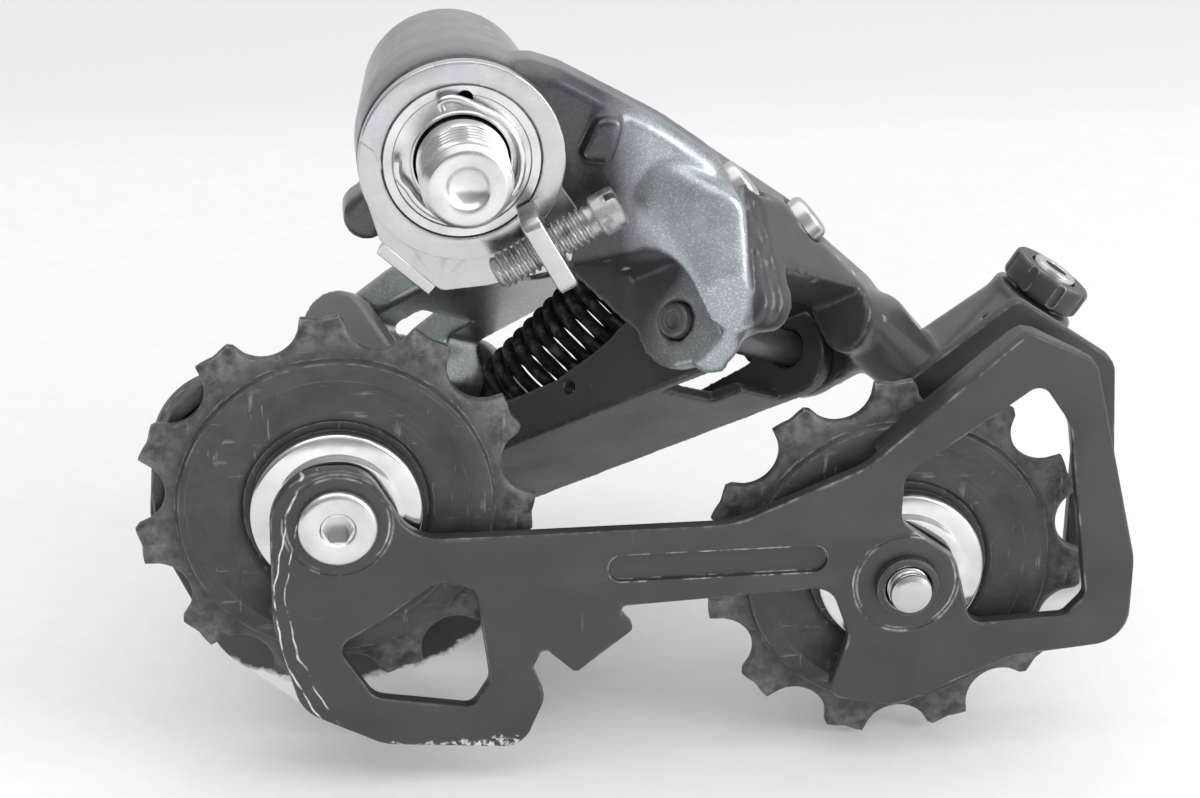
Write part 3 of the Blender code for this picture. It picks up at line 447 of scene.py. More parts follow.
def anthracite_paint(name, shown_from, shown_to, black_from):
    """Metallic anthracite lacquer on die-cast aluminium: fine sparkle, pale worn ridges, a clear coat.

    Over X from `shown_from` the tone rises from dark grey to pale metallic grey: painted shade on the arm
    and a painted highlight on the bulge. Beyond `shown_to`, and beyond `black_from` in Y, the casting is
    painted near black, painted shade on its far side, with a paler grey at the top of the barrel, a painted
    highlight. All three are in millimetres.
    """
    made, tree, shader, place = new_material(
        name, "#4A4D4F", 0.85, 0.32, **{"Coat Weight": 0.3, "Coat Roughness": 0.1})
    # Aluminium flakes are about 0.03 mm; they are drawn at 0.13 mm, the finest that still sparkles.
    flakes = add(tree, "ShaderNodeTexVoronoi", {"Vector": place, "Scale": 1 / 0.13})
    spark = add(tree, "ShaderNodeSeparateColor", {0: flakes.outputs["Color"]}).outputs[0]
    x, y, z = axes_of(tree, place)
    lacquer_and_highlight = mixed(tree, between(tree, noise(tree, place, 6.0), 0.35, 0.65), "#939B9D", "#A3AAAC")
    lacquer_and_highlight = mixed(tree, between(tree, spark, 0.75, 1.0, 0.0, 0.6), lacquer_and_highlight, "#DDE2E3")
    dark = mixed(tree, between(tree, spark, 0.75, 1.0, 0.0, 0.3), "#424448", "#6A6E72")
    # Painted highlight and shade: pale metallic grey right of `shown_from` for the bulge in the light, dark
    # grey left of it for the arm in shade.
    sweep = calc(tree, "ADD", x, calc(tree, "MULTIPLY", z, 0.12))
    shade = mixed(tree, between(tree, sweep, shown_from, shown_from + 4.5), dark, lacquer_and_highlight)
    # Painted shade: near black beyond `black_from` in Y, ragged by noise, and beyond `shown_to` in X; it is
    # less metallic there too.
    far = calc(tree, "ADD", y, calc(tree, "MULTIPLY", noise(tree, place, 4.0), 2.0))
    far = between(tree, far, black_from, black_from + 3.5)
    far = calc(tree, "MAXIMUM", far, between(tree, x, shown_to, shown_to + 0.8))
    black = mixed(tree, between(tree, noise(tree, place, 5.0, 5.0), 0.35, 0.7), "#2F2F33", "#3B3A3F")
    # Painted highlight: a paler grey where X is under 9 to 14 mm, the top of the barrel in the light.
    black = mixed(tree, between(tree, x, 14.0, 9.0), black, "#68676B")
    shade = mixed(tree, far, shade, black)
    ridge = add(tree, "ShaderNodeNewGeometry").outputs["Pointiness"]
    patchy = between(tree, noise(tree, place, 1.5), 0.35, 0.6)
    worn = calc(tree, "MULTIPLY", between(tree, ridge, 0.54, 0.62), patchy)
    shade = mixed(tree, calc(tree, "MULTIPLY", worn, 0.6), shade, "#C9CCCE")
    tree.links.new(shade, shader.inputs["Base Color"])
    tree.links.new(between(tree, far, 0.0, 1.0, 0.85, 0.05), shader.inputs["Metallic"])
    tree.links.new(between(tree, noise(tree, place, 3.0), 0.3, 0.7, 0.27, 0.38), shader.inputs["Roughness"])
    bump(tree, shader, spark, 0.003)
    bump(tree, shader, noise(tree, place, 0.9, 2.0), 0.008)
    return made


def band(tree, value, middle, wide):
    """1 where the value is within `wide` of the middle, fading out over as much again."""
    off = calc(tree, "ABSOLUTE", calc(tree, "SUBTRACT", value, middle))
    return between(tree, off, wide * 2, wide)


def away(tree, place, x, z):
    """Distance in the XZ plane from a line along Y."""
    flat = add(tree, "ShaderNodeVectorMath", {0: place, 1: (1, 0, 1)}, operation="MULTIPLY").outputs[0]
    return add(tree, "ShaderNodeVectorMath", {0: flat, 1: (x, 0, z)}, operation="DISTANCE").outputs["Value"]


def chain_rub(tree, place):
    """Where a chain has rubbed the inner plate: two scratches up its front, chips along its foot."""
    x, _, z = axes_of(tree, place)
    swing = calc(tree, "MULTIPLY", noise(tree, place, 7.0, 2.0), 2.4)
    reach = calc(tree, "ADD", away(tree, place, *RUB_CENTRE), swing)
    first = between(tree, noise(tree, place, 2.2), 0.40, 0.54, 0.0, 0.8)
    first = calc(tree, "MULTIPLY", band(tree, reach, RUB_R + 1.0, 0.06), first)
    second = between(tree, noise(tree, place, 3.0), 0.46, 0.60, 0.0, 0.7)
    second = calc(tree, "MULTIPLY", band(tree, reach, RUB_R - 0.3, 0.05), second)
    front = between(tree, x, -15.0, -17.5)
    low = calc(tree, "ADD", z, calc(tree, "MULTIPLY", noise(tree, place, 1.3, 5.0), 3.4))
    chips = between(tree, noise(tree, place, 0.7, 4.0), 0.47, 0.56, 0.0, 0.75)
    foot = calc(tree, "MULTIPLY", between(tree, low, -63.0, -63.5), chips)
    scratches = calc(tree, "MULTIPLY", calc(tree, "MAXIMUM", first, second), front)
    return calc(tree, "MAXIMUM", scratches, foot)


def worn_rim(tree, place):
    """Enamel gone from the front lower rim of the outer plate, where it has lain on the ground."""
    ragged = calc(tree, "MULTIPLY", noise(tree, place, 2.0, 5.0), 3.0)
    reach = calc(tree, "ADD", away(tree, place, *GUIDE), ragged)
    low = between(tree, axes_of(tree, place)["Z"], -52.0, -57.0)
    return calc(tree, "MULTIPLY", between(tree, reach, 25.6, 26.4), low)


def black_paint(name, wear=None):
    """Satin black stove enamel on pressed steel: faint orange peel, hairlines, bare steel at the edges.

    `wear` gives the places where the enamel has come off as a function of the tree and the place.
    """
    made, tree, shader, place = new_material(name, "#2A292D", 0.0, 0.36, **{"Specular IOR Level": 0.55})
    dust = noise(tree, place, 9.0, 6.0)
    shade = mixed(tree, between(tree, dust, 0.35, 0.7), "#2A292D", "#353438")
    # Hairlines from handling, each about 0.1 mm wide and drawn at twice that.
    hairs = calc(
        tree, "MAXIMUM", noise(tree, place, 0.5, 2.0, (24, 1, 1)), noise(tree, place, 0.5, 2.0, (1, 1, 30)))
    handled = between(tree, noise(tree, place, 7.0), 0.5, 0.62)
    hairs = calc(tree, "MULTIPLY", between(tree, hairs, 0.70, 0.76), handled)
    shade = mixed(tree, calc(tree, "MULTIPLY", hairs, 0.25), shade, "#8C8B90")
    patchy = between(tree, noise(tree, place, 2.6, 5.0), 0.47, 0.66)
    worn = calc(tree, "MULTIPLY", edges(tree, 0.32), patchy)
    if wear:
        worn = calc(tree, "MAXIMUM", worn, wear(tree, place))
    tree.links.new(mixed(tree, worn, shade, "#DDDBDC"), shader.inputs["Base Color"])
    tree.links.new(calc(tree, "MULTIPLY", worn, 0.5), shader.inputs["Metallic"])
    tree.links.new(between(tree, dust, 0.3, 0.7, 0.31, 0.46), shader.inputs["Roughness"])
    bump(tree, shader, noise(tree, place, 0.7, 2.0), 0.010)
    bump(tree, shader, calc(tree, "MULTIPLY", worn, -1.0), 0.03)
    return made


def pulley_resin(name, centre, teeth_from):
    """Moulded acetal that the chain has polished: grey scuffs, pale teeth, fine scratches."""
    made, tree, shader, place = new_material(
        name, "#302F33", 0.0, 0.5, (centre[0], PULLEY_Y, centre[1]), **{"Specular IOR Level": 0.5})
    x, y, z = axes_of(tree, place)
    radius = length_of(tree, x, z)
    along = calc(tree, "MULTIPLY", calc(tree, "ARCTAN2", z, x), 3.0)
    polar = add(tree, "ShaderNodeCombineXYZ", {"X": along, "Y": radius, "Z": y}).outputs[0]
    rounds = noise(tree, polar, 0.45, 4.0, (9, 1, 1))
    flat, upright = [noise(tree, place, 0.5, 3.0, stretch) for stretch in ((12, 1, 1.6), (1.5, 1, 10))]
    cross = calc(tree, "MAXIMUM", flat, upright)
    handled = between(tree, noise(tree, place, 4.0), 0.46, 0.6)
    scuffs = calc(tree, "MULTIPLY", between(tree, cross, 0.62, 0.72), handled)
    shade = mixed(tree, between(tree, noise(tree, place, 5.0, 5.0), 0.35, 0.7), "#29282C", "#3A393D")
    shade = mixed(tree, calc(tree, "MULTIPLY", scuffs, 0.5), shade, "#85848A")
    shade = mixed(tree, between(tree, rounds, 0.60, 0.75, 0.0, 0.22), shade, "#7D7C82")
    rub = calc(tree, "MULTIPLY", between(tree, radius, teeth_from, teeth_from + 3.5), between(
        tree, noise(tree, place, 1.6, 4.0), 0.38, 0.62))
    shade = mixed(tree, calc(tree, "MULTIPLY", rub, 0.45), shade, "#77767B")
    edge = calc(tree, "MULTIPLY", edges(tree, 0.3), between(tree, noise(tree, place, 1.8, 4.0), 0.45, 0.6))
    shade = mixed(tree, calc(tree, "MULTIPLY", edge, 0.7), shade, "#A3A2A6")
    tree.links.new(shade, shader.inputs["Base Color"])
    tree.links.new(between(tree, cross, 0.4, 0.7, 0.36, 0.60), shader.inputs["Roughness"])
    # Moulding texture of about 0.3 mm grain, with the scuffs pressed into it.
    bump(tree, shader, noise(tree, place, 0.35, 2.0), 0.012)
    bump(tree, shader, scuffs, -0.02)
    return made


def bright_zinc(name, colour="#C4C3C7", roughness=0.27, turned_about=None, dirt=0.2):
    """Bright zinc plate on steel: clear but uneven shine, tool marks round the axis, a little grime."""
    made, tree, shader, place = new_material(name, colour, 1.0, roughness, turned_about or (0, 0, 0))
    grime = between(tree, noise(tree, place, 3.4, 6.0), 0.56, 0.80)
    shade = mixed(tree, between(tree, noise(tree, place, 7.0), 0.3, 0.7), colour, "#CBCACD")
    shade = mixed(tree, calc(tree, "MULTIPLY", grime, dirt), shade, "#5B595C")
    tree.links.new(shade, shader.inputs["Base Color"])
    uneven = between(tree, noise(tree, place, 3.0, 2.0), 0.3, 0.7, roughness * 0.85, roughness * 1.3)
    tree.links.new(uneven, shader.inputs["Roughness"])
    if turned_about:
        x, y, z = axes_of(tree, place)
        rows = add(tree, "ShaderNodeCombineXYZ", {"X": length_of(tree, x, z), "Y": y}).outputs[0]
        # Feed marks of a lathe, 0.1 mm apart, drawn at 0.25 mm.
        bump(tree, shader, noise(tree, rows, 0.25, 2.0), 0.006)
    bump(tree, shader, noise(tree, place, 1.0, 2.0), 0.005)
    return made


def spring_steel(name, colour="#3B3A3E", roughness=0.38):
    """Oil-blacked drawn wire: dark, with draw lines and rubbed brown-grey patches."""
    made, tree, shader, place = new_material(name, colour, 0.75, roughness)
    rubbed = between(tree, noise(tree, place, 1.6, 4.0), 0.5, 0.7)
    tree.links.new(mixed(tree, rubbed, colour, "#6A686B"), shader.inputs["Base Color"])
    uneven = between(tree, noise(tree, place, 0.7), 0.3, 0.7, roughness * 0.8, roughness * 1.3)
    tree.links.new(uneven, shader.inputs["Roughness"])
    bump(tree, shader, noise(tree, place, 0.3, 2.0), 0.008)
    return made


def rubber_seal(name):
    """Moulded nitrile: dull, a little dusty."""
    made, tree, shader, place = new_material(name, "#242326", 0.0, 0.7)
    dust = between(tree, noise(tree, place, 1.5, 5.0), 0.5, 0.75)
    tree.links.new(mixed(tree, dust, "#242326", "#4A494C"), shader.inputs["Base Color"])
    bump(tree, shader, noise(tree, place, 0.4, 2.0), 0.01)
    return made


def paper():
    """Matte white card under the object, a shade greyer towards the back: painted shade."""
    made, tree, shader, place = new_material(
        "matte_white_card", "#F4F4F4", 0.0, 0.85, **{"Specular IOR Level": 0.2})
    back = axes_of(tree, place)["Y"]
    fibre = noise(tree, place, 3.0, 3.0)
    shade = mixed(tree, between(tree, fibre, 0.3, 0.7), "#E0E0E1", "#E3E3E4")
    # Painted shade: greyer from 215 to 250 mm behind the middle.
    shade = mixed(tree, between(tree, back, 215.0, 250.0), shade, "#D9D9DC")
    tree.links.new(shade, shader.inputs["Base Color"])
    return made


ANTHRACITE = anthracite_paint("anthracite_lacquer_on_cast_knuckle", 16.0, 30.4, 3.0)
ANTHRACITE_LINK = anthracite_paint("anthracite_lacquer_on_cast_link", -200.0, 200.0, 200.0)
# Painted shade: the lower knuckle is near black wherever Y is beyond about 0, as the far side of the upper
# one is.
ANTHRACITE_FAR = anthracite_paint("anthracite_lacquer_in_painted_shade", -200.0, 200.0, 0.0)
BLACK = black_paint("satin_black_enamel_on_pressed_steel")
CHIPPED = black_paint("chipped_black_enamel_on_pressed_steel", chain_rub)
CHIPPED_FAR = black_paint("worn_black_enamel_on_pressed_steel", worn_rim)
ZINC = bright_zinc("bright_zinc_plate")
NICKEL = bright_zinc("nickelled_dust_cap", "#EAE9EC", 0.15, None, 0.2)
TURNED_ZINC = bright_zinc("turned_bright_zinc_plate", "#E6E5E7", 0.24, (0, 0, 0), 0.1)
GUIDE_ZINC = bright_zinc("turned_zinc_bolt_head", "#E6E4E5", 0.26, (GUIDE[0], PULLEY_Y, GUIDE[1]), 0.15)
SPRING = spring_steel("oil_blacked_spring_wire", "#2C2B2F", 0.55)
SCREW_STEEL = spring_steel("dull_zinc_screw_steel", "#A9A8AB", 0.28)
RIVET = spring_steel("lacquered_rivet_steel", "#6B6C6F", 0.34)
SEAL = rubber_seal("moulded_nitrile_seal")
ADJUSTER = black_paint("moulded_black_nylon")
CARD = paper()


def done(obj, body, finish, slot, *nodes, sharp=35):
    """Gives a finished piece its finish, its body and the nodes it stands for."""
    obj.name = obj.data.name = nodes[0] + "_shown"
    obj.data.materials.clear()
    obj.data.materials.append(finish)
    for polygon in obj.data.polygons:
        polygon.material_index = 0
        polygon.use_smooth = True
    obj.data.set_sharp_from_angle(angle=math.radians(sharp))
    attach(obj, body)
    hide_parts(*nodes)
    return obj


# -------------------- geometry trees
def toothed_wheel_tree():
    """Presses a turned disc into teeth: its rim is drawn in to the chain's rollers between the teeth."""
    tree, size = geometry_tree("toothed_wheel", {
        "Teeth": TEETH, "Pitch Radius": PITCH_R * MM, "Tip Radius": TIP_R * MM,
        "Roller Radius": ROLLER_R * MM, "Root Radius": ROOT_R * MM, "Phase": 0.0, "Finish": None})
    pitch, tip, roller, root = [size[key + " Radius"] for key in ("Pitch", "Tip", "Roller", "Root")]
    x, y, z = axes_of(tree, add(tree, "GeometryNodeInputPosition").outputs[0])
    radius = length_of(tree, x, y)
    angle = calc(tree, "ADD", calc(tree, "ARCTAN2", y, x), size["Phase"])
    step = calc(tree, "DIVIDE", 2 * math.pi, size["Teeth"])
    half_step = calc(tree, "MULTIPLY", step, 0.5)
    off = calc(tree, "SUBTRACT", calc(tree, "FLOORED_MODULO", angle, step), half_step)
    side = calc(tree, "MULTIPLY", calc(tree, "SINE", off), pitch)
    ahead = calc(tree, "MULTIPLY", calc(tree, "COSINE", off), pitch)
    squares = [calc(tree, "MULTIPLY", length, length) for length in (roller, side)]
    left = calc(tree, "SUBTRACT", *squares)
    seat = calc(tree, "SUBTRACT", ahead, calc(tree, "SQRT", calc(tree, "MAXIMUM", left, 0.0)))
    rim = calc(tree, "MINIMUM", calc(tree, "SMOOTH_MIN", seat, tip, 0.9 * MM), tip)
    share = calc(tree, "DIVIDE", calc(tree, "SUBTRACT", rim, root), calc(tree, "SUBTRACT", tip, root))
    past_root = calc(tree, "MULTIPLY", calc(tree, "SUBTRACT", radius, root), share)
    drawn = calc(tree, "MAXIMUM", calc(tree, "ADD", root, past_root), root)
    grow = calc(tree, "DIVIDE", calc(tree, "MINIMUM", radius, drawn), radius)
    outside = calc(tree, "GREATER_THAN", radius, root)
    inside = calc(tree, "SUBTRACT", 1.0, outside)
    grow = calc(tree, "ADD", calc(tree, "MULTIPLY", outside, grow), inside)
    place = add(tree, "ShaderNodeCombineXYZ", {
        "X": calc(tree, "MULTIPLY", x, grow), "Y": calc(tree, "MULTIPLY", y, grow), "Z": z}).outputs[0]
    moved = add(tree, "GeometryNodeSetPosition", {"Geometry": size["Geometry"], "Position": place})
    return end_tree(tree, moved.outputs[0], size["Finish"])


def round_wire_tree():
    """Draws a round wire along the path that it is given, and closes its ends."""
    tree, size = geometry_tree("round_wire", {"Wire Radius": 0.5 * MM, "Sides": 16, "Finish": None})
    profile = add(tree, "GeometryNodeCurvePrimitiveCircle", {
        "Resolution": size["Sides"], "Radius": size["Wire Radius"]})
    tube = add(tree, "GeometryNodeCurveToMesh", {
        "Curve": size["Geometry"], "Profile Curve": profile.outputs["Curve"], "Fill Caps": True})
    return end_tree(tree, tube.outputs[0], size["Finish"])


def round_about_tree():
    """Sets copies of a shape evenly round local Z, as flutes and knurls are."""
    tree, size = geometry_tree("round_about", {"Count": 8, "Finish": None})
    points = add(tree, "GeometryNodePoints", {"Count": size["Count"]}).outputs[0]
    step = calc(tree, "DIVIDE", 2 * math.pi, size["Count"])
    turn = calc(tree, "MULTIPLY", add(tree, "GeometryNodeInputIndex").outputs[0], step)
    turn = add(tree, "ShaderNodeCombineXYZ", {"Z": turn}).outputs[0]
    copies = add(tree, "GeometryNodeInstanceOnPoints", {
        "Points": points, "Instance": size["Geometry"], "Rotation": turn})
    return end_tree(tree, copies.outputs[0], size["Finish"])


TOOTHED_WHEEL = toothed_wheel_tree()
ROUND_WIRE = round_wire_tree()
ROUND_ABOUT = round_about_tree()


def wire(name, points, radius, matrix):
    """A round wire through points in millimetres, smoothed into a bend at each."""
    line = bpy.data.curves.new(name, "CURVE")
    line.dimensions = "3D"
    spline = line.splines.new("NURBS")
    spline.points.add(len(points) - 1)
    for point, place in zip(spline.points, points):
        point.co = (*(Vector(place) * MM), 1)
    spline.order_u = 4
    spline.use_endpoint_u = True
    spline.resolution_u = 3
    return grown("Wire", ROUND_WIRE, new_object(name, line, matrix), {"Wire Radius": radius * MM})


def coil_points(radius, low, high, turns, per_turn=16, start=0.0):
    count = round(turns * per_turn)
    return [(
        radius * math.cos(start + 2 * math.pi * turns * i / count),
        radius * math.sin(start + 2 * math.pi * turns * i / count),
        low + (high - low) * i / count) for i in range(count + 1)]


# -------------------- cage plates
CAGE_IN = across(0, PLATE_IN, 0)
CAGE_OUT = across(0, PLATE_OUT + PLATE_THICK, 0)
BOLT_HOLES = [circle(*place, AXLE_R + 0.25) for place in (GUIDE, TENSION)]

inner_outline = rounded([
    (GUIDE[0] - 7.2, GUIDE[1] + 6.6, 6.4), (GUIDE[0] + 3.2, GUIDE[1] + 6.4, 4.5), (-6.6, -39.9, 5.5),
    (28.5, -39.9, 12.0), (43.0, -33.8, 4.0), (60.4, -18.6, 1.4), (68.2, -22.4, 2.6), (74.0, -46.5, 8.0),
    (73.9, -56.8, 4.2), (60.5, -58.0, 6.0), (47.5, -63.6, 5.0), (39.4, -61.9, 1.6), (41.8, -54.4, 3.0),
    (39.6, -48.2, 2.8), (15.4, -49.2, 0.7), (17.6, -52.0, 0.7), (11.0, -57.2, 0.7), (7.4, -53.8, 0.7),
    (6.2, -56.4, 0.7), (7.6, -60.0, 2.5), (5.0, -66.2, 3.2), (-10.5, -64.9, 6.0), (-19.5, -60.2, 5.0),
    (-22.3, -49.0, 12.0)])
inner_window = rounded([
    (58.9, -27.0, 1.4), (62.2, -24.6, 1.6), (65.6, -29.6, 4.0), (68.6, -50.8, 1.6), (66.4, -53.2, 1.2),
    (55.6, -53.6, 2.0), (53.6, -45.4, 3.0), (47.2, -40.6, 2.4), (47.4, -35.0, 2.2)])
guide_window = rounded([
    (-4.2, -45.0, 2.4), (0.0, -46.2, 1.6), (1.4, -57.6, 2.2), (-0.6, -60.8, 1.4), (-11.4, -59.0, 2.6),
    (-15.4, -52.4, 1.7), (-9.6, -49.0, 3.0)])
inner_plate = plate(
    "inner_plate", CAGE_IN, PLATE_THICK, inner_outline, [*BOLT_HOLES, inner_window, guide_window], 0.3)
flange_line = [(44.5, -32.4), (59.0, -20.0), (60.3, -19.3), (61.6, -19.5), (67.4, -22.6), (71.6, -37.4)]
flange = plate("flange", CAGE_IN, 3.2, strip(flange_line, -1.6), (), 0.3, low=-2.57)
# A stamped groove along the strut, and a coined ring where each pulley bolt's head beds
stamped = [plate("stamped", CAGE_IN, 1.0, rounded([
    (14.6, -42.9, 1.5), (14.6, -46.1, 1.5), (39.0, -46.1, 1.5), (39.0, -42.9, 1.5)]),
    low=PLATE_THICK - 0.7)]
for x, z in (GUIDE, TENSION):
    stamped.append(ring("coined", across(x, PLATE_IN, z), 5.6, 6.0, PLATE_THICK - 0.12, PLATE_THICK + 1))
inner_plate = soften(cut(join(inner_plate, flange), *stamped), 0.12)
done(inner_plate, "cage", CHIPPED, "black_paint", "cage_inner_plate")

outer_outline = rounded([
    (GUIDE[0] - 19.0, GUIDE[1] + 14.4, 9.0), (GUIDE[0] + 7.0, GUIDE[1] + 13.0, 9.0), (3.0, -46.2, 8.0),
    (32.0, -45.8, 12.0), (44.0, -32.5, 4.0), (61.8, -18.8, 1.6), (73.4, -26.8, 3.0), (74.8, -50.0, 7.0),
    (72.0, -57.6, 4.2), (56.0, -60.0, 8.0), (42.0, -58.4, 4.0), (38.6, -50.8, 4.0), (14.0, -51.2, 6.0),
    (1.0, -65.6, 6.0), (-15.0, -68.8, 6.0), (-28.2, -57.8, 10.0), (-35.4, -41.8, 10.0)])
outer_window = rounded([
    (59.6, -27.2, 1.6), (64.0, -25.2, 2.0), (69.4, -30.6, 3.0), (69.0, -52.0, 2.6), (56.2, -54.0, 2.2),
    (54.0, -45.6, 3.0), (49.4, -41.0, 2.4), (49.6, -35.0, 2.2)])
outer_plate = plate("outer_plate", CAGE_OUT, PLATE_THICK, outer_outline, [
    *BOLT_HOLES, circle(*P_AXLE, 4.25), outer_window], 0.3)
rim = plate(
    "rim", CAGE_OUT, 3.5, strip([
        (-28.6, -23.6), (-32.2, -26.6), (-34.2, -31.0), (-34.8, -36.0), (-34.6, -40.4)], 1.6),
    (), 0.3, low=PLATE_THICK - 0.6)
done(soften(join(outer_plate, rim), 0.12), "cage", CHIPPED_FAR, "black_paint", "cage_outer_plate")


# -------------------- pulleys
FACE = (PLATE_OUT - PLATE_IN) / 2 + PLATE_THICK  # from a pulley's middle to the outside of a plate


def pulley(name, place, finish, zinc):
    """A toothed resin wheel with its steel bushing and the two dust caps in its faces."""
    here = across(place[0], PULLEY_Y, place[1])
    side = [
        (BUSH_R + GAP, 2.5), (BUSH_R + GAP + 0.2, 2.7), (6.0, 2.7), (6.3, 2.4), (6.4, 1.4), (6.6, 1.2),
        (10.1, 1.2), (10.4, 1.5), (10.7, 1.75), (11.2, 1.8), (14.6, 1.85), (15.0, 2.05), (15.3, 2.1),
        (16.9, 2.1), (17.15, 2.0), (17.3, 1.75), (ROOT_R, 1.1), (17.6, 0.97), (18.4, 0.95), (19.4, 0.93),
        (20.4, 0.88), (21.2, 0.78), (TIP_R - 0.35, 0.62), (TIP_R - 0.1, 0.5), (TIP_R, 0.3)]
    wheel = turned(name, here, [(r, -h) for r, h in side] + [(r, h) for r, h in side[::-1]], TEETH * 24)
    wheel.data.transform(here.inverted())
    wheel.matrix_world = here
    wheel = grown("Teeth", TOOTHED_WHEEL, wheel, {"Phase": TOOTH_TURN, "Finish": finish})
    done(wheel, name + "_pulley", finish, "black_resin", name + "_pulley")
    half = FACE - PLATE_THICK - GAP
    bush = turned("bush", here, [
        (AXLE_R + 0.25, -half), (BUSH_R - 0.2, -half), (BUSH_R, -half + 0.2), (BUSH_R, half - 0.2),
        (BUSH_R - 0.2, half), (AXLE_R + 0.25, half)])
    done(bush, "cage", zinc, "zinc_plate", name + "_bushing")
    lid = [
        (BUSH_R + GAP, 3.0), (8.7, 3.0), (8.7, 1.7), (CAP_R - 0.1, 1.7), (CAP_R, 1.8), (CAP_R, 3.1),
        (CAP_R - 0.08, 3.35), (CAP_R - 0.25, 3.55), (CAP_R - 0.5, 3.66), (7.4, 3.72), (7.1, 3.8),
        (6.8, 3.97), (6.5, 4.0), (BUSH_R + GAP + 0.15, 4.0), (BUSH_R + GAP, 3.9)]
    done(turned("lid", here, lid), "cage", NICKEL, "zinc_plate", name + "_cap_inner")
    done(turned("lid", here, [(r, -h) for r, h in lid]), "cage", NICKEL, "zinc_plate", name + "_cap_outer")
    return here


here = pulley("guide", GUIDE, pulley_resin("guide_pulley_resin", GUIDE, 16.8), GUIDE_ZINC)
bolt = turned("guide_bolt", here, [
    (0, -FACE - 1.2), (AXLE_R - 0.4, -FACE - 1.2), (AXLE_R, -FACE - 0.8),
    (AXLE_R, FACE + GAP), (4.2, FACE + GAP), (4.35, FACE + GAP + 0.12), (4.35, FACE + 0.85),
    (4.22, FACE + 1.12), (3.95, FACE + 1.3), (3.6, FACE + 1.38), (2.3, FACE + 1.4), (2.0, FACE + 1.34),
    (1.8, FACE + 1.1), (0, FACE + 1.1)])
socket = plate("socket", here, 3.0, hexagon(3.0), low=FACE - 1.2)
done(cut(bolt, socket), "cage", GUIDE_ZINC, "zinc_plate", "guide_bolt")

here = pulley("tension", TENSION, pulley_resin("tension_pulley_resin", TENSION, 16.8), ZINC)
bolt = turned("tension_bolt", here, [
    (0, -FACE - 2.0), (3.5, -FACE - 2.0), (3.85, -FACE - 1.85), (4.0, -FACE - 1.5), (4.0, -FACE - GAP),
    (AXLE_R, -FACE - GAP), (AXLE_R, FACE + 1.2),
    *thread(AXLE_R, 0.25, FACE + 1.3, FACE + 2.9, 0.8), (1.9, FACE + 3.05), (1.5, FACE + 3.2),
    (0, FACE + 3.15)], pitch=0.8)
socket = plate("socket", here, 3.0, hexagon(3.0), low=-FACE - 3.6)
done(cut(bolt, socket), "cage", ZINC, "zinc_plate", "tension_bolt")
collar = turned("collar", here, [
    (AXLE_R + 0.25, FACE + GAP), (3.4, FACE + GAP), (3.5, FACE + GAP + 0.1), (3.5, FACE + 1.25),
    (3.38, FACE + 1.42), (3.2, FACE + 1.5), (AXLE_R + 0.35, FACE + 1.5),
    (AXLE_R + 0.25, FACE + 1.4)])
done(collar, "cage", BLACK, "black_paint", "tension_collar")


# -------------------- cage pivot
P_FACE = PLATE_OUT + PLATE_THICK + P_SHOULDER
P_END = P_FACE + P_HOUSING
here = across(P_AXLE[0], 0, P_AXLE[1])
done(turned("axle", here, [
    (0, -P_END - 1.9), (1.2, -P_END - 1.9), (1.4, -P_END - 1.7), (3.4, -P_END - 1.7), (3.8, -P_END - 1.6),
    (4.0, -P_END - 1.3), (4.0, -PLATE_OUT - 0.5), (3.75, -PLATE_OUT - 0.15), (0, -PLATE_OUT - 0.15)]),
    "cage", ZINC, "zinc_plate", "p_axle")
low, high = -(P_FACE - GAP), -(PLATE_OUT + PLATE_THICK + GAP)
done(turned("seal", here, [
    (4.3, low), (7.8, low), (8.0, low + 0.15), (7.75, (low + high) / 2), (8.0, high - 0.15), (7.8, high),
    (4.3, high)]), "cage", SEAL, "black_resin", "p_seal")
stop_arm = Vector((math.cos(STOP_PIN_ANGLE), 0, math.sin(STOP_PIN_ANGLE))) * STOP_PIN_REACH
stop = across(P_AXLE[0] + stop_arm.x, 0, P_AXLE[1] + stop_arm.z)
done(turned("stop", stop, [
    (0, -P_FACE - 3.5), (1.0, -P_FACE - 3.5), (1.38, -P_FACE - 3.35), (1.5, -P_FACE - 3.0),
    (1.5, high - 0.2), (1.35, high), (0, high)]), "cage", ZINC, "zinc_plate", "cage_stop_pin")
done(turned("cap", here, [
    (4.3, -P_END - 1.4), (6.4, -P_END - 1.4), (6.85, -P_END - 1.2), (7.0, -P_END - 0.9),
    (7.0, -P_END - 0.4), (6.9, -P_END - GAP), (4.3, -P_END - GAP)]),
    "p_knuckle", ZINC, "zinc_plate", "p_cap")
coil = coil_points(6.55, -(P_END - 2.9 - GAP), -(P_FACE + 0.9), 4.2)
done(wire("spring", coil, 0.75, here), "p_knuckle", SPRING, "dark_steel", "p_spring")


# -------------------- knuckles, links and pins
done(cast("b_knuckle", 0.42, 8), "b_knuckle", ANTHRACITE, "anthracite", "b_knuckle", sharp=60)
done(cast("p_knuckle", 0.4, 6), "p_knuckle", ANTHRACITE_FAR, "anthracite", "p_knuckle", sharp=60)
done(cast("outer_link", 0.36, 4), "outer_link", ANTHRACITE_LINK, "anthracite", "outer_link", sharp=60)
done(cast("inner_link", 0.33, 2), "inner_link", BLACK, "black_paint", "inner_link", sharp=60)

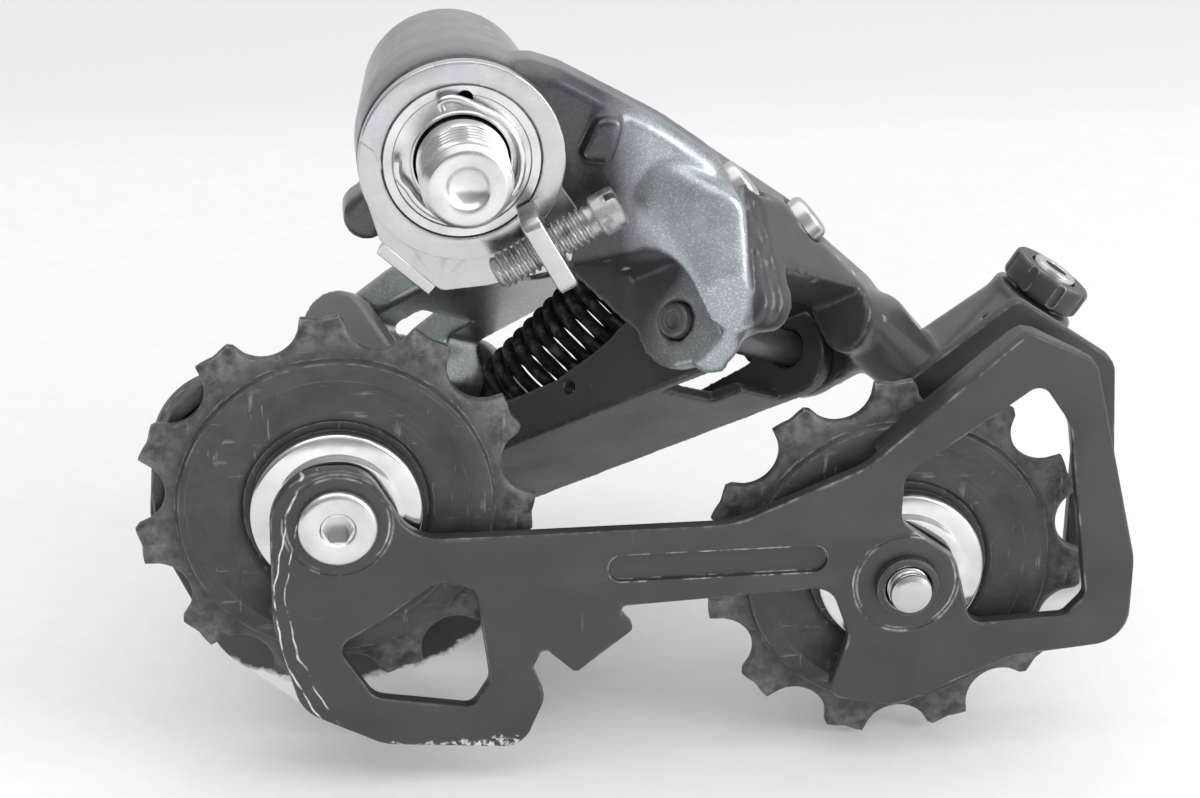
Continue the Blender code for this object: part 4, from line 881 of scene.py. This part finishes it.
RIVETS = {
    "pin_inner_b": (0, 0, "b_knuckle"), "pin_outer_b": (SKEW_V, SKEW_W, "b_knuckle"),
    "pin_inner_p": (LINK_LONG, 0, "p_knuckle"), "pin_outer_p": (LINK_LONG + SKEW_V, SKEW_W, "p_knuckle")}
for name, (v, w, body) in RIVETS.items():
    rivet = turned("rivet", pin_axes(0, v, w), [
        (0, -PIN_LONG - 0.5), (PIN_R - 0.5, -PIN_LONG - 0.5), (PIN_R - 0.15, -PIN_LONG - 0.35),
        (PIN_R, -PIN_LONG), (PIN_R, 0.15), (PIN_R - 0.1, 0.42), (PIN_R - 0.35, 0.58), (1.15, 0.6),
        (0.98, 0.52), (0.9, 0.34), (0.6, 0.24), (0, 0.22)], 64)
    done(rivet, body, RIVET, "zinc_plate", name)

# Return spring: a hook round a pin at each end of the parallelogram's diagonal
diagonal = Vector((LINK_LONG - SKEW_V, -SKEW_W))
span = diagonal.length
axis = (LINK_DIR * diagonal.x + W_DIR * diagonal.y).normalized()
side = axis.cross(PIN_DIR)
here = axes_at(in_pins(-14.2, SKEW_V, SKEW_W), side, axis.cross(side))
hook_r = PIN_R + GAP + WIRE_R
hook = [(hook_r * math.sin(a), 0, -hook_r * math.cos(a)) for a in map(math.radians, range(-150, 121, 15))]
low, high = 7.4, span - 8.6
middle = coil_points(5.75, low, high, round((high - low) / (2 * WIRE_R + 0.25)), 20, 0.35)
rise = [(1.5, 0, 4.2), (2.4, 0.6, 5.6), (4.2, 1.2, 6.6)]
fall = [(-x, y, span - z) for x, y, z in hook + rise[:2]][::-1]
path = hook + rise + middle + [(middle[-1][0] * 0.55, 1.0, span - 5.4)] + fall[1:]
done(wire("spring", path, WIRE_R, here), "b_knuckle", SPRING, "dark_steel", "return_spring")


# -------------------- mounting bolt
origin = across(0, 0, 0)
HEAD = BARREL_LONG - 4.5 + GAP
bolt = turned("bolt", origin, [
    (0, BOLT_NOSE - 0.95), (1.5, BOLT_NOSE - 0.85), (2.1, BOLT_NOSE - 0.4), (2.35, BOLT_NOSE - 0.08),
    (2.5, BOLT_NOSE), (3.9, BOLT_NOSE), (4.15, BOLT_NOSE - 0.1), (4.6, BOLT_NOSE - 0.75),
    *thread(BOLT_R, 0.45, 1.6, BOLT_NOSE - 0.8, 1.0)[::-1], (4.3, 1.45), (4.25, 1.3), (4.25, 0.7),
    (4.35, 0.55), (BOLT_R, 0.3), (BOLT_R, -HEAD), (6.8, -HEAD), (7.0, -HEAD - 0.2), (7.0, -HEAD - 4.9),
    (6.9, -HEAD - 5.3), (6.5, -HEAD - 5.6), (0, -HEAD - 5.6)], 128, pitch=1.0)
socket = plate("socket", origin, 5.0, hexagon(5.0), low=-HEAD - 7.0)
done(cut(bolt, socket), "mounting_bolt", TURNED_ZINC, "zinc_plate", "mounting_bolt")

washer = turned("washer", origin, [
    (BOLT_R + GAP, -1.7), (8.4, -1.7), (8.5, -1.6), (8.5, -0.5), (8.4, -0.4), (7.5, -0.4), (7.35, -0.55),
    (5.6, -0.55), (5.45, -0.4), (BOLT_R + GAP, -0.4)])
washer = cut(washer, rod("hole", across(0.4, 0, 7.0), 0.9, -3, 1))
done(washer, "b_knuckle", TURNED_ZINC, "zinc_plate", "b_washer")
coil = coil_points(7.6, -13.6, -3.2, 4.5)
done(wire("spring", coil, 0.9, origin), "b_knuckle", SPRING, "dark_steel", "b_spring")

clip = [(-6.9, 0.8, 0.9), (-7.1, -0.6, 0.8), (-6.6, -1.7, 0.6)]
clip += [(6.3 * math.cos(a), 6.3 * math.sin(a), 0.5) for a in map(math.radians, range(-158, 60, 7))]
clip += [(1.2, 6.6, 0.8), (-0.4, 7.4, 0.9), (-1.8, 7.5, 0.9), (-2.5, 6.9, 0.9), (-2.0, 6.2, 0.8)]
done(wire("clip", clip, 0.48, origin), "mounting_bolt", NICKEL, "zinc_plate", "bolt_clip")


# -------------------- stop plate and its screw
screw_dir = (TENSION_HEAD - TENSION_TIP).normalized()
tip = about(TENSION_TIP, screw_dir)
across_tab = Vector((screw_dir.z, 0, -screw_dir.x))
disc = plate("disc", across(0, 1.7, 0), 1.5, circle(0, 0, 11.1, 96), [circle(0, 0, 8.6, 80)], 0.2)
skirt = plate("skirt", across(0, 1.66, 0), 1.42, rounded([
    (-10.6, -3.0, 1.0), (-9.0, -8.6, 1.5), (-2.6, -14.6, 1.2), (2.4, -14.2, 2.0), (11.6, -12.4, 1.5),
    (12.4, -6.0, 1.0), (8.6, 0.0, 1.0)]), (), 0.2)
skirt = cut(skirt, rod("bore", origin, 8.64, -4, 2))
tab_axes = axes_at(Vector((10.7, -3.0, -7.9)) - screw_dir * 1.1, across_tab, (0, -1, 0))
tab = plate("tab", tab_axes, 2.2, rounded([
    (-4.6, -4.7, 0.8), (4.6, -4.7, 0.8), (4.6, 2.9, 1.2), (-4.6, 2.9, 1.2)]), (), 0.3)
lip = plate("lip", axes_at((-5.6, 0.2, -11.6), (0.73, 0, -0.68), (0, 1, 0)), 1.4, [
    (-4.0, 0), (3.4, 0), (3.0, 3.2), (-3.4, 3.2)], (), 0.2, low=-1.4)
thread_hole, bore = rod("thread_hole", tip, 2.3, 2.0, 14.0), rod("bore", origin, 8.55, -4.0, 0.1, 96)
stop_plate = cut(join(disc, skirt, tab, lip), thread_hole, bore)
# The plate is coined in two steps: shallow lines part the raised horn from the ring
split_lines = (
    [(1.5, 11.4), (1.7, 8.8), (3.1, 7.4), (3.9, 7.0)],
    [(-11.2, 3.0), (-9.4, 1.5), (-8.6, -0.6), (-8.2, -2.2)])
for line in split_lines:
    parting = plate("parting", across(0, 1.7, 0), 1.0, strip(line, 0.3), low=1.28)
    stop_plate = cut(stop_plate, parting)
done(soften(stop_plate, 0.15), "stop_plate", ZINC, "zinc_plate", "stop_plate")

long = (TENSION_HEAD - TENSION_TIP).length
screw = turned("screw", tip, [
    (0, 0), (1.35, 0), *thread(2.0, 0.34, 0.3, long - 0.6, 0.75, 8), (1.75, long - 0.4), (1.8, long),
    (2.2, long), (2.4, long + 0.2), (2.4, long + 2.4), (2.3, long + 2.7), (2.0, long + 2.9),
    (0, long + 3.0)], 48, pitch=0.75)
slit = plate("slit", tip @ Matrix.Rotation(0.6, 4, "Z"), 2.0, [
    (-3.6, -0.4), (3.6, -0.4), (3.6, 0.4), (-3.6, 0.4)], low=long + 1.8)
done(cut(screw, slit), "b_tension_screw", SCREW_STEEL, "dark_steel", "b_tension_screw")

for name, place in LIMIT_SCREWS.items():
    here = about(place - SCREW_DIR * 1.6 + W_DIR * 0.8, SCREW_DIR)
    screw = turned("screw", here, [
        (0, -7.5), (1.2, -7.5), *thread(1.5, 0.25, -7.2, 0.2, 0.7, 8), (1.5, 0.5), (2.6, 0.5), (2.75, 0.65),
        (2.75, 1.9), (2.65, 2.2), (2.35, 2.5), (1.6, 2.66), (0, 2.7)], 48, pitch=0.7)
    cross = [plate("cross", here @ Matrix.Rotation(turn, 4, "Z"), 1.6, [
        (-1.7, -0.35), (1.7, -0.35), (1.7, 0.35), (-1.7, 0.35)], low=1.5) for turn in (0, math.pi / 2)]
    done(cut(screw, *cross), name, ZINC, "zinc_plate", name)


# -------------------- cable stop and clamp
boss = about(STOP_CENTRE, CASING_DIR)
barrel = turned("barrel", boss, [
    (1.3, -6.5), (2.2, -6.5), (2.45, -6.2), (2.45, 3.0), (4.5, 3.0), (4.8, 3.15), (5.05, 3.45),
    (5.1, 3.8), (5.1, 5.9), (5.02, 6.2), (4.8, 6.4), (3.2, 6.4), (3.1, 6.3), (3.1, 4.4), (1.3, 4.0)], 128)
flute = rod("flute", Matrix.Translation((5.75 * MM, 0, 0)), 0.9, 3.2, 8, 32)
flutes = grown("Flutes", ROUND_ABOUT, flute, {"Count": 8})
flutes.data.transform(boss)
done(cut(barrel, flutes), "barrel_adjuster", ADJUSTER, "black_resin", "barrel_adjuster")
done(turned("ferrule", boss, [
    (1.5, 4.75), (2.6, 4.75), (2.75, 4.9), (2.75, 6.7), (2.65, 6.85), (2.5, 6.9), (1.6, 6.9), (1.5, 6.8)]),
    "barrel_adjuster", ZINC, "zinc_plate", "casing_ferrule")

here = axes_at(in_pins(-14.0, SKEW_V + 17.5, SKEW_W + 8.6), LINK_DIR, PIN_DIR)
bolt = turned("bolt", here, [
    (0, -3.4), (1.9, -3.4), *thread(2.2, 0.25, -3.1, 1.7, 0.8, 8), (2.2, 1.9), (3.9, 1.9), (4.1, 2.1),
    (4.1, 4.0), (4.0, 4.3), (3.7, 4.55), (3.4, 4.6), (0, 4.6)], pitch=0.8)
bolt = cut(bolt, plate("socket", here, 3.0, hexagon(4.0), low=2.6))
done(bolt, "cable_clamp_bolt", ZINC, "zinc_plate", "cable_clamp_bolt")
clamp = plate("clamp", here, 1.2, rounded([(-5, -4, 1), (5, -4, 1), (5, 4.4, 2), (-5, 4.4, 2)]), [
    circle(0, 0, 2.5)], 0.2, low=GAP)
done(clamp, "outer_link", ZINC, "zinc_plate", "cable_clamp_plate")


# -------------------- floor, light and camera
floor_z = min(corner[2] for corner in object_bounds()) - FLOOR_GAP * MM
sheet = bpy.data.meshes.new("floor")
sheet.from_pydata([(x, y, floor_z) for x, y in ((-3, -3), (3, -3), (3, 3), (-3, 3))], [], [(0, 1, 2, 3)])
floor = new_object("floor", sheet)
floor.data.materials.append(CARD)
floor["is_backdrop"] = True


def area_light(name, place, target, size, power, mirrored=True):
    """A soft panel that faces its target; with `mirrored` off, polished faces don't show it."""
    lamp = bpy.data.lights.new(name, "AREA")
    lamp.shape = "RECTANGLE"
    lamp.size, lamp.size_y = size
    lamp.energy = power
    aim = Vector(target) - Vector(place)
    obj = new_object(name, lamp)
    obj.visible_glossy = mirrored
    obj.location = place
    obj.rotation_euler = aim.to_track_quat("-Z", "Y").to_euler()
    return obj


area_light("overhead_panel", (0.02, -0.02, 0.80), (0.02, 0, -0.03), (1.3, 1.1), 4.2)
area_light("right_panel", (0.62, -0.38, 0.24), (0.02, 0, -0.02), (0.45, 0.5), 3.0)
area_light("front_fill", (-0.1, -0.85, 0.18), (0.02, 0, -0.05), (1.4, 0.4), 6.5, False)

# A pale room that is darker on its near side, as a room is behind a camera; seen directly it stays pale.
world = bpy.data.worlds.new("pale_room")
world.use_nodes = True
tree = world.node_tree
x, y, z = axes_of(tree, add(tree, "ShaderNodeTexCoord").outputs["Generated"])
lean = calc(tree, "ADD", calc(tree, "MULTIPLY", y, 0.4), calc(tree, "MULTIPLY", z, 0.65))
lean = calc(tree, "ADD", lean, calc(tree, "MULTIPLY", x, 0.55))
room = mixed(tree, between(tree, lean, -0.7, 0.5), "#6E6E74", "#FAFAFC")
seen = add(tree, "ShaderNodeLightPath").outputs["Is Camera Ray"]
tree.links.new(mixed(tree, seen, room, "#F1F0F3"), tree.nodes["Background"].inputs["Color"])
tree.nodes["Background"].inputs["Strength"].default_value = 0.9
bpy.context.scene.world = world
bpy.context.scene.view_settings.view_transform = "Standard"

camera = bpy.data.cameras.new("camera")
camera.lens = 90
camera.sensor_width = 36
right = Vector((math.cos(VIEW_TURN), -math.sin(VIEW_TURN), 0))
level = Vector((math.sin(VIEW_TURN), math.cos(VIEW_TURN), 0))
ahead = level * math.cos(VIEW_DIP) + Vector((0, 0, -math.sin(VIEW_DIP)))
eye = Matrix((right, right.cross(ahead), -ahead)).transposed().to_4x4()
eye.translation = VIEW_FROM
bpy.context.scene.camera = new_object("camera", camera, eye)
